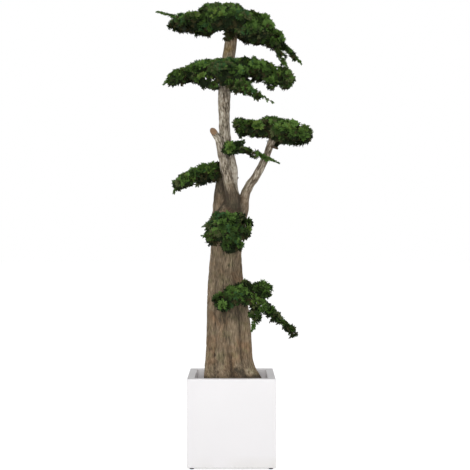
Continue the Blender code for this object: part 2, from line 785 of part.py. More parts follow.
def main():
    clear_scene()
    white = material("pot_white", WHITE, 0.35)
    make_pot(white)
    make_feet(material("foot_rubber", DARK_RUBBER, 0.8))
    make_fill(material("mulch", MULCH, 0.95))
    wood = make_wood(material("bark", BARK, 0.9), material("pale_bark", PALE_BARK, 0.85))
    make_foliage(wood, material("juniper_green", LEAF_GREEN, 0.7))


main()
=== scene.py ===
"""Looks of a preserved juniper trained in tiers, standing in a square white planter.

Places are in metres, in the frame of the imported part: the pot's middle at floor level is the origin, the
tree's front faces -Y and +Z is up. The sizes of the wood, the lobes of foliage and the planter are the
source's own. Bark is a fine skin with real relief over the trunk and each limb. In every mass of foliage
twigs grow from the stem to tufts spread over the lobes, and each tuft is a rosette of toothed sprays.
"""

import itertools
import math

import bmesh
import bpy
import numpy as np
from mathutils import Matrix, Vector


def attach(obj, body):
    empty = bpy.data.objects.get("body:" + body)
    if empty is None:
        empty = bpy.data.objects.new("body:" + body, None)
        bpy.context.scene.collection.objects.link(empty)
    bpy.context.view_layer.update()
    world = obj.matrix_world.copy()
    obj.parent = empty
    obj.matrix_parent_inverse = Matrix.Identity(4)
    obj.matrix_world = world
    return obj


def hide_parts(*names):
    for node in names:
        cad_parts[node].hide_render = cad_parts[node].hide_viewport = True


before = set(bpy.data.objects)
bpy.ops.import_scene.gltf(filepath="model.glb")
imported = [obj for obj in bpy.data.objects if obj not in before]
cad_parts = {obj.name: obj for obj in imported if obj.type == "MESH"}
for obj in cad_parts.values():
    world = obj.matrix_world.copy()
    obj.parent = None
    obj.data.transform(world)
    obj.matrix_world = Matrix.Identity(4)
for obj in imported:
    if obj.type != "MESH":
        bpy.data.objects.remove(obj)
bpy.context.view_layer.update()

# Planter
POT_SIDE = 0.457
POT_HEIGHT = 0.457
RIM_WIDTH = 0.040
POT_FLOOR = 0.020
POT_EDGE = 0.004
FOOT_HEIGHT = 0.008
FOOT_RADIUS = 0.012
FOOT_INSET = 0.025
# A foot's outline, from the middle of its tread to the middle of its top: how far out and how high each
# point is, as shares of the foot's radius and height
FOOT_OUTLINE = (
    (0.0, 0.0),
    (0.78, 0.0),
    (0.80, 0.06),
    (0.90, 0.07),
    (1.0, 0.22),
    (1.0, 0.86),
    (0.93, 1.0),
    (0.0, 1.0),
)
FOOT_STEPS = 28
FILL_BELOW_RIM = 0.060
GAP = 0.0003

POT_BASE = FOOT_HEIGHT + GAP
RIM_HEIGHT = POT_BASE + POT_HEIGHT
CAVITY = POT_SIDE - 2 * RIM_WIDTH
FILL_TOP = RIM_HEIGHT - FILL_BELOW_RIM
GROUND = FILL_TOP + GAP

# Mulch: how deep the bed is, how far its top lies under the fill's, how many points it has to a side, how
# high and how wide its lumps and its grains are, how high and how wide it is heaped round the trunk
BED_DEPTH = 0.030
BED_SINK = 0.002
BED_STEPS = 60
BED_LUMP = 0.004
BED_LUMP_SIZE = 0.035
BED_GRAIN = 0.002
BED_GRAIN_SIZE = 0.012
BED_HEAP = 0.004
BED_HEAP_REACH = 0.17
# Chips: size, shares of it that they vary by along each side, scales, how many to the square metre of each
# colour, how near the trunk's middle they lie and how far out towards the walls, and how they may be turned
CHIP_SIZE = (0.012, 0.0065, 0.0024)
CHIP_VARIETY = ((0.75, 1.25), (0.6, 1.3), (0.6, 1.3))
CHIP_SCALES = (0.55, 1.35)
CHIP_DENSITY = 4200
CHIP_CLEAR = 0.120
CHIP_REACH = 0.178
CHIP_TURNS = ((-0.7, -0.5, 0.0), (0.7, 0.5, 6.28))
# Darkest and lightest brown of the bed and of each kind of chip, linear
BED_COLOURS = ((0.016, 0.010, 0.006), (0.075, 0.047, 0.028))
CHIP_COLOURS = {
    "dark_chips": ((0.020, 0.012, 0.008), (0.085, 0.052, 0.032)),
    "brown_chips": ((0.045, 0.026, 0.014), (0.140, 0.085, 0.048)),
    "red_chips": ((0.050, 0.022, 0.012), (0.170, 0.080, 0.045)),
}

# Trunk: height, middle x, middle y, half width, half depth
TRUNK = (
    (GROUND, 0.002, 0.000, 0.144, 0.140),
    (0.445, -0.001, 0.000, 0.142, 0.134),
    (0.505, -0.012, 0.000, 0.129, 0.120),
    (0.569, -0.015, 0.000, 0.121, 0.112),
    (0.720, -0.016, 0.000, 0.115, 0.106),
    (0.857, -0.022, 0.000, 0.105, 0.098),
    (0.985, -0.029, 0.000, 0.090, 0.087),
    (1.113, -0.027, 0.000, 0.081, 0.080),
    (1.241, -0.022, 0.000, 0.081, 0.077),
    (1.305, -0.022, 0.000, 0.075, 0.068),
    (1.360, -0.002, 0.002, 0.050, 0.050),
    (1.405, 0.007, 0.006, 0.037, 0.040),
    (1.466, 0.001, 0.018, 0.033, 0.034),
    (1.563, -0.001, 0.024, 0.033, 0.032),
    (1.627, -0.014, 0.016, 0.031, 0.031),
    (1.722, -0.033, 0.002, 0.031, 0.031),
    (1.818, -0.038, 0.000, 0.029, 0.029),
    (1.946, -0.038, 0.000, 0.033, 0.033),
    (2.074, -0.026, 0.000, 0.034, 0.033),
    (2.170, -0.012, 0.000, 0.034, 0.033),
    (2.266, 0.002, 0.000, 0.030, 0.029),
    (2.345, 0.012, 0.000, 0.019, 0.018),
)
# Grid of the trunk's skin, and how far it runs down into the mulch
TRUNK_COLUMNS = 192
TRUNK_ROWS = 336
TRUNK_FOOT = GROUND - 0.012
FLUTES = 5
FLUTE_DEPTH = 0.045
FLUTE_TOP = 1.30
FLUTE_FADE = 0.30
FLUTE_TWIST = 2.2
ROOT_RISE = 0.050
# Roots: bearing in degrees from +X, how far the foot swells there, half angle in degrees
ROOTS = (
    (-6, 0.032, 18),
    (-62, 0.016, 18),
    (-128, 0.014, 22),
    (176, 0.010, 20),
    (112, 0.018, 22),
    (48, 0.016, 20),
)
# Heights between which the trunk's brown bark gives way to the leader's pale bark, those between which the
# leader turns browner and darker again under the crown, which is painted shade of the crown, and how much of
# its paleness it loses there
PALE_FROM = 1.30
PALE_TO = 1.46
CROWN_SHADE_HEIGHTS = (2.10, 2.26)
CROWN_SHADE_LOSS = 0.7
# Ribs and furrows of the trunk: bearing at its lowest and at its highest place, those two heights, half angle
# in degrees, and how far it stands out, where less than nothing is a furrow
RIBS = (
    (-86, -84, 0.20, 0.68, 7, -0.013),
    (-46, -54, 0.20, 0.90, 8, -0.008),
    (-128, -136, 0.24, 1.16, 8, -0.007),
    (-104, -98, 0.62, 1.34, 7, -0.007),
    (-68, -74, 0.66, 1.34, 9, 0.005),
    (-152, -146, 0.36, 1.30, 10, 0.005),
    (-24, -30, 0.44, 1.24, 10, 0.005),
    (-108, -116, 0.20, 0.80, 8, 0.005),
    (98, 106, 0.20, 1.06, 9, -0.012),
    (28, 36, 0.60, 1.30, 8, -0.009),
    (162, 154, 0.30, 0.90, 8, -0.009),
    (62, 68, 0.32, 1.26, 11, 0.006),
    (132, 126, 0.44, 1.30, 11, 0.006),
    (4, -2, 0.46, 1.14, 8, -0.006),
)
RIB_FADE = 0.12
# Cracks along the bottom of the furrows: half width, depth as a share of the furrow's, how dark they are for
# each metre of it, and the trunk's radius by which degrees are turned into widths. They sway and shake by
# these degrees, and this fast along the height.
CRACK_WIDTH = 0.0042
CRACK_SHARE = 0.42
CRACK_DARK = 26
CRACK_RADIUS = 0.10
CRACK_SWAY = (0.9, 21)
CRACK_SHAKE = (0.5, 57)
# Shade in the furrows: the depth where it begins, how much deeper it stops growing, and how fast it grows
FURROW_FROM = 0.003
FURROW_SPAN = 0.010
FURROW_DARK = 9
# Patches of lighter or darker bark, some of them painted shadow and painted highlight as marked below:
# bearing, half angle in degrees, height, half height and how much lighter
BARK_AND_LIGHT_PATCHES = (
    (-90, 120, 0.50, 0.10, 0.03),
    (-90, 120, 1.03, 0.13, -0.08),
    (-40, 9, 0.480, 0.017, 0.66),
    (-18, 14, 0.434, 0.020, -0.26),
    (-138, 30, 0.440, 0.055, 0.26),
    (-64, 14, 0.486, 0.022, -0.46),
    (-56, 16, 0.430, 0.024, -0.20),
    # Painted shadow cast by the low spray
    (-82, 46, 0.785, 0.050, -0.30),
    # Painted highlight on the leader's bulge
    (-48, 30, 1.522, 0.060, 0.50),
    (-130, 40, 1.290, 0.070, 0.22),
    # Painted shade in the fork between the limbs
    (-92, 40, 1.350, 0.056, -0.50),
    (-60, 40, 2.155, 0.060, -0.12),
    (60, 120, 0.62, 0.22, 0.10),
)
# Yellow lichen on the leader under the crown: bearing, half angle, height, half height and how much
LICHEN = (
    (-100, 60, 2.165, 0.050, 0.85),
    (-20, 50, 2.150, 0.035, 0.60),
    (90, 60, 1.980, 0.060, 0.35),
)
# How far the trunk's foot may reach inside the planter, over what length it eases to that, and between which
# heights above the rim this ends
WELL_REACH = 0.184
WELL_EASE = 0.012
WELL_END = (0.01, 0.05)
# Painted contact shade on the foot just above the mulch: how high it rises and how dark it is
CONTACT_SHADE_RISE = 0.058
CONTACT_SHADE_DARK = 0.58
# Lumps on the foot: the height over which they fade, how dark it is there, and the rise, size and seed of
# each kind
FOOT_FADE = 0.045
FOOT_DARK = 0.14
FOOT_LUMPS = ((0.007, (0.045, 0.045, 0.04), 21), (0.003, 0.018, 22))
# Painted shade in the creases between limbs: how dark, and how far from the other skin
CREASE_SHADE = 0.86
CREASE_WIDTH = 0.0085
# Knots: bearing, height, size and how far each stands out
KNOTS = (
    (-131, 0.572, 0.020, 0.006),
    (-74, 0.500, 0.024, 0.005),
    (-40, 0.480, 0.022, 0.012),
    (-18, 0.440, 0.024, 0.010),
    (-118, 0.485, 0.016, 0.004),
    (-80, 1.045, 0.016, 0.005),
    (52, 0.820, 0.022, 0.008),
    (140, 1.010, 0.020, 0.007),
    (95, 0.560, 0.024, 0.008),
    (10, 1.130, 0.017, 0.006),
)
# A knot's height as a share of its width, and how light it is. The hollow in its middle is so many times
# narrower and lower than the knot, this deep as a share of its rise, and this dark. The grain bends round
# both, by this share of the knot's size.
KNOT_TALLNESS = 1.3
KNOT_LIGHT = 0.12
HOLLOW_NARROWER = 2.6
HOLLOW_LOWER = 3.4
HOLLOW_DEPTH = 1.1
HOLLOW_DARK = 0.75
KNOT_SPIN = 0.9

# Limbs in the skin: columns, distance between rows, how far two skins blend where they meet, and the sizes of
# the rings on the stub's sawn face
LIMB_COLUMNS = 84
LIMB_ROW = 0.0036
BLEND = 0.034
CUT_RINGS = (0.96, 0.90, 0.66, 0.40, 0.16)
# The stub's saw cut: how much it slants to the front, and how many rows of the skin it takes up
CUT_SLANT = (0.15, -1.20, 0.00)
CUT_ROWS = 14

# Bark relief in metres: broad swells, strips with furrows between them, finer strips, fibres
SWELL = 0.0026
STRIP = 0.0026
FINE_STRIP = 0.0013
FIBRE = 0.0007
PALE_STRIP = 0.0008
PALE_LUMP = 0.0018
PALE_FLECK = 0.0006
# The bark's tone from 0, dark, to 1, light: its middle, and what each layer of its noise adds
BROWN_TONE = {"middle": 0.555, "wide": -0.13, "fine": -0.17, "broad": 0.08, "fibre": 0.25, "blotch": 0.12}
PALE_TONE = {"middle": 0.52, "fine": -0.08, "lump": 0.12, "fleck": 0.23, "blotch": 0.15, "streak": 0.20}

# Colours of the wood, linear: places on a ramp of tones from 0 to 1 and what they show
BROWN_BARK = (
    (0.05, (0.059, 0.044, 0.026)),
    (0.33, (0.156, 0.115, 0.070)),
    (0.58, (0.253, 0.190, 0.121)),
    (0.80, (0.360, 0.283, 0.192)),
    (1.00, (0.469, 0.386, 0.276)),
)
PALE_BARK = (
    (0.05, (0.050, 0.038, 0.024)),
    (0.30, (0.170, 0.135, 0.096)),
    (0.52, (0.320, 0.272, 0.204)),
    (0.74, (0.500, 0.448, 0.365)),
    (1.00, (0.700, 0.650, 0.560)),
)
SAWN_WOOD = (
    (0.35, (0.110, 0.058, 0.027)),
    (0.66, (0.270, 0.160, 0.084)),
    (1.00, (0.460, 0.320, 0.205)),
)
TWIG_BARK = (
    (0.45, (0.022, 0.015, 0.008)),
    (0.80, (0.062, 0.042, 0.024)),
    (1.00, (0.120, 0.085, 0.050)),
)
# Tints over the bark: which noise they follow, from where to where it brings them in, how far, and the tint
BROWN_TINTS = (
    ("patch", 0.46, 0.64, 0.75, (1.0, 0.80, 0.66, 1.0)),
    ("mottle", 0.50, 0.36, 0.70, (0.86, 0.97, 0.80, 1.0)),
)
PALE_TINTS = (
    ("mottle", 0.50, 0.72, 0.85, (0.52, 0.44, 0.36, 1.0)),
    ("mottle", 0.46, 0.30, 0.50, (0.90, 0.95, 0.86, 1.0)),
)
LICHEN_TINT = (1.05, 0.92, 0.40, 1.0)

# Bare spurs on the wood: foot, tip and the foot's radius
SPURS = (
    ((-0.018, -0.036, 1.648), (-0.050, -0.072, 1.652), 0.0050),
    ((0.205, -0.070, 1.672), (0.244, -0.092, 1.658), 0.0075),
    ((0.000, -0.006, 2.262), (-0.050, -0.034, 2.270), 0.0040),
    ((-0.040, 0.030, 1.905), (-0.052, 0.062, 1.926), 0.0055),
    ((0.160, -0.030, 1.570), (0.178, -0.002, 1.590), 0.0045),
    ((-0.066, 0.036, 1.400), (-0.092, 0.058, 1.416), 0.0050),
    ((0.012, 0.040, 1.500), (0.040, 0.068, 1.514), 0.0048),
    ((-0.022, 0.024, 2.120), (-0.006, 0.060, 2.136), 0.0046),
)

# Limbs: x, y, z, radius
LEFT_LIMB = (
    (-0.058, 0.000, 1.225, 0.034),
    (-0.063, 0.000, 1.290, 0.036),
    (-0.065, 0.004, 1.338, 0.036),
    (-0.064, 0.008, 1.391, 0.034),
    (-0.062, 0.010, 1.434, 0.031),
    (-0.059, 0.010, 1.475, 0.026),
    (-0.062, 0.010, 1.512, 0.020),
)
TWISTED_LIMB = (
    (0.006, -0.010, 1.327, 0.032),
    (0.005, -0.022, 1.364, 0.033),
    (0.002, -0.034, 1.400, 0.032),
    (-0.005, -0.044, 1.442, 0.030),
    (-0.014, -0.050, 1.482, 0.028),
    (-0.034, -0.050, 1.558, 0.026),
    (-0.042, -0.048, 1.601, 0.024),
    (-0.052, -0.042, 1.644, 0.023),
    (-0.062, -0.038, 1.687, 0.021),
    (-0.073, -0.038, 1.718, 0.018),
    (-0.085, -0.040, 1.732, 0.0150),
    (-0.096, -0.044, 1.752, 0.0135),
)
RIGHT_BOUGH = (
    (0.036, 0.000, 1.235, 0.029),
    (0.054, 0.000, 1.295, 0.028),
    (0.064, 0.000, 1.345, 0.027),
    (0.070, -0.002, 1.391, 0.025),
    (0.079, -0.006, 1.433, 0.024),
    (0.095, -0.014, 1.465, 0.023),
    (0.137, -0.030, 1.528, 0.022),
    (0.171, -0.045, 1.592, 0.020),
    (0.187, -0.055, 1.624, 0.018),
    (0.199, -0.064, 1.660, 0.019),
    (0.216, -0.072, 1.708, 0.020),
)
LIMBS = {"left_limb": LEFT_LIMB, "twisted_limb": TWISTED_LIMB, "right_bough": RIGHT_BOUGH}
# How pale each limb is at its foot and at its tip
LIMB_PALENESS = {"left_limb": (0.02, 0.20), "twisted_limb": (0.22, 1.00), "right_bough": (0.40, 0.92)}
# Between which shares of its length each limb turns from the one to the other
LIMB_PALING = {"left_limb": (0.15, 0.70), "twisted_limb": (0.15, 0.50), "right_bough": (0.15, 0.70)}
# How much darker each limb's bark is than the ramp's middle
LIMB_SHADE = {"left_limb": -0.05, "twisted_limb": 0.04, "right_bough": 0.05}
# How much darker still it is at the limb's foot, in the fork
FOOT_SHADE = {"left_limb": 0.00, "twisted_limb": 0.42, "right_bough": 0.06}
# How much darker still it is at the limb's tip, where the foliage shades it
TIP_SHADE = {"left_limb": 0.54, "twisted_limb": 0.00, "right_bough": 0.10}
# Between which shares of a limb's length the foot's shade goes out, and between which the tip's comes in
FOOT_SHADING = (0.20, 0.38)
TIP_SHADING = (0.42, 0.88)
# Knobs on the limbs: how far they stand out and how wide they are
KNOB_RISE = 0.0022
KNOB_SIZE = 0.038
# The radius from which a limb's bark has its full relief, and the least share of it on thinner wood
FULL_RADIUS = 0.024
LEAST_RELIEF = 0.4
# How far apart the limbs lie in the space of the bark's noise
GRAIN_APART = 0.4
# Sides of the spurs' and the twigs' tubes, and a spur's girth: share of its length, and of its foot's radius
SPUR_SIDES = 9
TWIG_SIDES = 5
SPUR_GIRTHS = ((0, 1.5), (0.25, 1.1), (0.5, 0.95), (0.75, 0.8), (0.93, 0.75), (1.0, 0.45))

# Tufts: distance between them, the share of a lobe's size that they are spread over and how deep under that
# they sit, the clumps that they form, how far each may rise or sink, how far they keep from the wood, and how
# much nearer to its own mass than to any other a place has to be
TUFT_SPACING = 0.0345
SKIN_SHARE = 0.93
TUFT_DEPTH = 0.007
CLUMP_SIZE = 0.070
CLUMP_RISE = 0.010
TUFT_RISE = 0.004
TUFT_CLEARANCE = 0.006
CELL_MARGIN = 0.003
# Within this share of its size a lobe hides another lobe's places
HIDDEN_SHARE = 0.84
# How many places are tried on a lobe, for each square of the spacing and in any case
TRIES = 70
LEAST_TRIES = 40
# Sprays in a tuft on top, at the side and underneath, their length, and the least and greatest share of it.
# In a thin lobe they are no longer than the first number plus the second times its least half size.
TUFT_SPRAYS = (15, 13, 9)
SPRAY_LENGTH = 0.034
SPRAY_SHARES = (0.88, 1.10)
THIN_SPRAY = (0.018, 0.55)
LEAST_TILT = 0.10
GREATEST_TILT = 1.62
# How far the tuft's way out has to point up for each of the first two counts
TUFT_FACINGS = (0.35, -0.45)
# Turn from each spray in a tuft to the next, and how far turn, tilt and roll go astray, in radians
TUFT_TURN = 2.4
TURN_ASTRAY = 0.35
TILT_ASTRAY = 0.2
ROLL_ASTRAY = 0.45
# Length of a tuft's middle spray, as a share, and how much longer its outermost is
INNERMOST = 0.82
OUTER_LONGER = 0.25
# How far below their tuft the sprays start, how far out, and how far below it the twig ends
SPRAY_SINK = 0.004
SPRAY_RING = 0.002
TWIG_SINK = 0.006
# How much a tuft points square to the skin, away from the stem, upwards and astray, and the share of the
# upward lean that even a tuft underneath has
TUFT_LEANS = (0.80, 0.42, 0.30, 0.30)
LEAST_LIFT = 0.35
# Inner tufts that close the middle of a lobe
INNER_SPACING = 0.043
INNER_SHARE = 0.55
INNER_SPRAYS = 8
INNER_LENGTH = 0.044
# Trailing twigs: distance between their pairs of sprays, the sprays' lengths at the foot and at the tip and
# how they vary, how much they point onward, sideways and astray, and how much less sideways at the tip
TAIL_STEP = 0.0055
TAIL_LENGTHS = (0.030, 0.013)
TAIL_VARIETY = (0.8, 1.15)
TAIL_LEANS = (0.80, 0.62, 0.22)
TAIL_CLOSING = 0.5
# Their lean along the flat and, in turn, down and up, and how far their faces turn and go astray
TAIL_FLAT = 0.7
TAIL_TIPS = (-0.60, 0.95)
TAIL_TURN = 1.1
TAIL_ASTRAY = 0.4
# How far ahead and behind a trailing twig's direction is taken, and how far its last spray is set back
TAIL_LOOK = 0.01
TAIL_SET_BACK = 0.004
# Radius of a trailing twig, its shares from foot to tip, and how far back in its lobe it starts
TAIL_RADIUS = 0.0030
TAIL_GIRTHS = (1.25, 1.1, 0.8, 0.35)
TAIL_ROOT = 0.25
# Share of light sprays on the trailing twigs
FRESH_TAILS = 0.35
# Share of brown sprays where a mass doesn't say its own: dead sprays, and on the underside painted shade. It
# grows from nothing to this between two slopes of a mass's underside. Near the stem, within this reach, so
# many times as much comes on top. Inside the lobes it is so many times as much, and everywhere a few are
# brown.
BROWN_AND_SHADE = 0.30
UNDERSIDE_SHADE_SLOPES = (0.0, 0.7)
BROWN_AT_STEM = 2.0
BROWN_REACH = 0.075
BROWN_INSIDE = 1.27
BROWN_ANYWHERE = 0.01
# Painted light on a spray: how much its clump, its tuft's slope and its own slope add, how much facing the
# front counts beside facing up, how far tufts and sprays differ, and what is taken off. Below each of the
# steps in turn sprays take the painted deep shadow, shaded and half lit greens, and above them all the lit
# fresh green.
LIGHT_OF_CLUMP = 0.50
LIGHT_OF_TUFT = 0.34
LIGHT_OF_SPRAY = 0.42
FRONT_SHARE = 0.35
TUFTS_DIFFER = 0.24
SPRAYS_DIFFER = 0.30
LIGHT_LOSS = 0.10
LIGHT_STEPS = (-0.42, 0.08, 0.52)
# Patches of other greens: their sizes, and how far tufts differ in hue
HUE_SIZE = 0.13
HUES_DIFFER = 0.10
WORN_SIZE = 0.085
# Least hue and light for yellow green and its share of the sprays there; greatest hue and least light for
# blue green and its share; least wear, least and greatest light for olive and the share that it leaves alone
YELLOW_FROM = (0.24, 0.16, 0.50)
BLUE_FROM = (-0.20, -0.10, 0.40)
OLIVE_FROM = (0.16, -0.30, 0.50, 0.45)
# The light over which no spray is brown
BROWN_UNTIL = 0.3
# Points along a spray that have to keep off the wood and the sky gaps, and how it is shortened to do so
CLEAR_SHARES = (0.45, 0.75, 1.0)
SHORTENINGS = (0.72, 0.55)
# Gaps where the photo shows sky: middle x and z as seen past the trunk's middle, and radius
SKY_GAPS = (
    (-0.080, 2.271, 0.025),
    (-0.050, 2.274, 0.021),
    (-0.045, 2.311, 0.009),
    (0.078, 2.259, 0.009),
    (0.099, 2.180, 0.032),
    (0.163, 2.180, 0.037),
    (0.206, 2.162, 0.037),
    (0.235, 2.140, 0.019),
    (0.296, 2.170, 0.014),
    (0.310, 2.143, 0.018),
    (0.323, 2.111, 0.024),
    (-0.142, 2.042, 0.017),
    (-0.104, 2.037, 0.015),
    (-0.088, 2.034, 0.012),
    (0.097, 2.040, 0.018),
    (0.254, 1.998, 0.010),
    (0.120, 2.007, 0.020),
    (0.147, 1.994, 0.025),
    (0.179, 1.964, 0.019),
    (0.211, 1.943, 0.025),
    (0.256, 1.972, 0.008),
    (0.008, 1.762, 0.015),
    (0.019, 1.724, 0.018),
    (0.124, 1.703, 0.020),
    (0.086, 1.722, 0.014),
    (0.160, 1.682, 0.018),
    (-0.173, 1.316, 0.013),
    (-0.144, 1.231, 0.016),
    (-0.152, 1.097, 0.016),
)
# Growing twigs: distance between the forks inside a lobe, the shares of its size that they lie at and how
# far they keep from the wood
FORK_SPACING = 0.052
FORK_SHARES = (0.30, 0.62)
FORK_CLEARANCE = 0.004
# What each metre of the way back to the stem costs a twig; in metres, what it costs more to fork at a tuft or
# at the stem's very foot, and how much later the tufts' twigs grow than the forks'
WAY_COST = 0.35
TUFT_FORK_COST = 0.03
STEM_FOOT_COST = 0.02
TUFT_LATER = 0.05
# The thinnest twig, the power by which twigs add up, how far they wander and sag, their girth at foot, middle
# and tip, and the stem's at both ends
LEAF_TWIG = 0.0010
FORK_POWER = 2.35
TWIG_WANDER = 0.16
TWIG_SAG = 0.06
TWIG_GIRTHS = (1.25, 1.05, 0.9)
STEM_GIRTHS = (1.0, 0.6)
# How far sprays keep from the wood
WOOD_CLEARANCE = 0.002

# Sprays: each leaflet's foot along the stalk, turn in degrees, length and width as shares of the spray
LEAFLETS = (
    (0.30, 0, 0.70, 0.36),
    (0.26, 36, 0.68, 0.35),
    (0.26, -36, 0.68, 0.35),
    (0.14, 72, 0.56, 0.33),
    (0.14, -72, 0.56, 0.33),
)
LEAFLET_SIDE = (0.42, 0.44)
LEAFLET_NOTCH = (0.56, 0.31)
LEAFLET_SHOULDER = (0.84, 0.36)
LEAFLET_RIB = (0.50, 0.12)
# How leaflets vary: in length, in the places of their corners, in turn in degrees and in height
LEAFLET_VARIETY = (0.88, 1.12)
CORNERS_ASTRAY = 0.05
LEAFLETS_TURNED = 6
LEAFLETS_RAISED = 0.015
# The stalk: width, length as a share of the spray's, its three corners and how far they are sunk
STALK_WIDTH = 0.040
STALK_LENGTH = 0.62
STALK_CORNERS = ((-0.5, 0.0), (0.5, 0.0), (0.0, 0.8))
STALK_SINK = 0.2
SPRAY_DROOP = 0.12
SPRAY_CUP = 0.20
SPRAY_KINDS = 3

# Greens and browns of the foliage, linear: colour and roughness. The first four greens are one green in
# painted steps of shade and light
LEAF_FINISHES = {
    "deep_green": ((0.0085, 0.0160, 0.0038), 0.66),
    "dark_green": ((0.0262, 0.0520, 0.0098), 0.64),
    "mid_green": ((0.0550, 0.1090, 0.0190), 0.62),
    "fresh_green": ((0.0970, 0.1800, 0.0370), 0.60),
    "yellow_green": ((0.0960, 0.1520, 0.0280), 0.62),
    "blue_green": ((0.0360, 0.0880, 0.0270), 0.62),
    "old_brown": ((0.0370, 0.0350, 0.0125), 0.78),
    "olive_green": ((0.0740, 0.0900, 0.0330), 0.70),
}
LEAF_SHEEN = 0.12
DEEP_SHADOW_GREEN, SHADED_GREEN, HALF_LIT_GREEN, LIT_FRESH_GREEN, YELLOW, BLUE, DEAD_AND_SHADE_BROWN, OLIVE = range(len(LEAF_FINISHES))
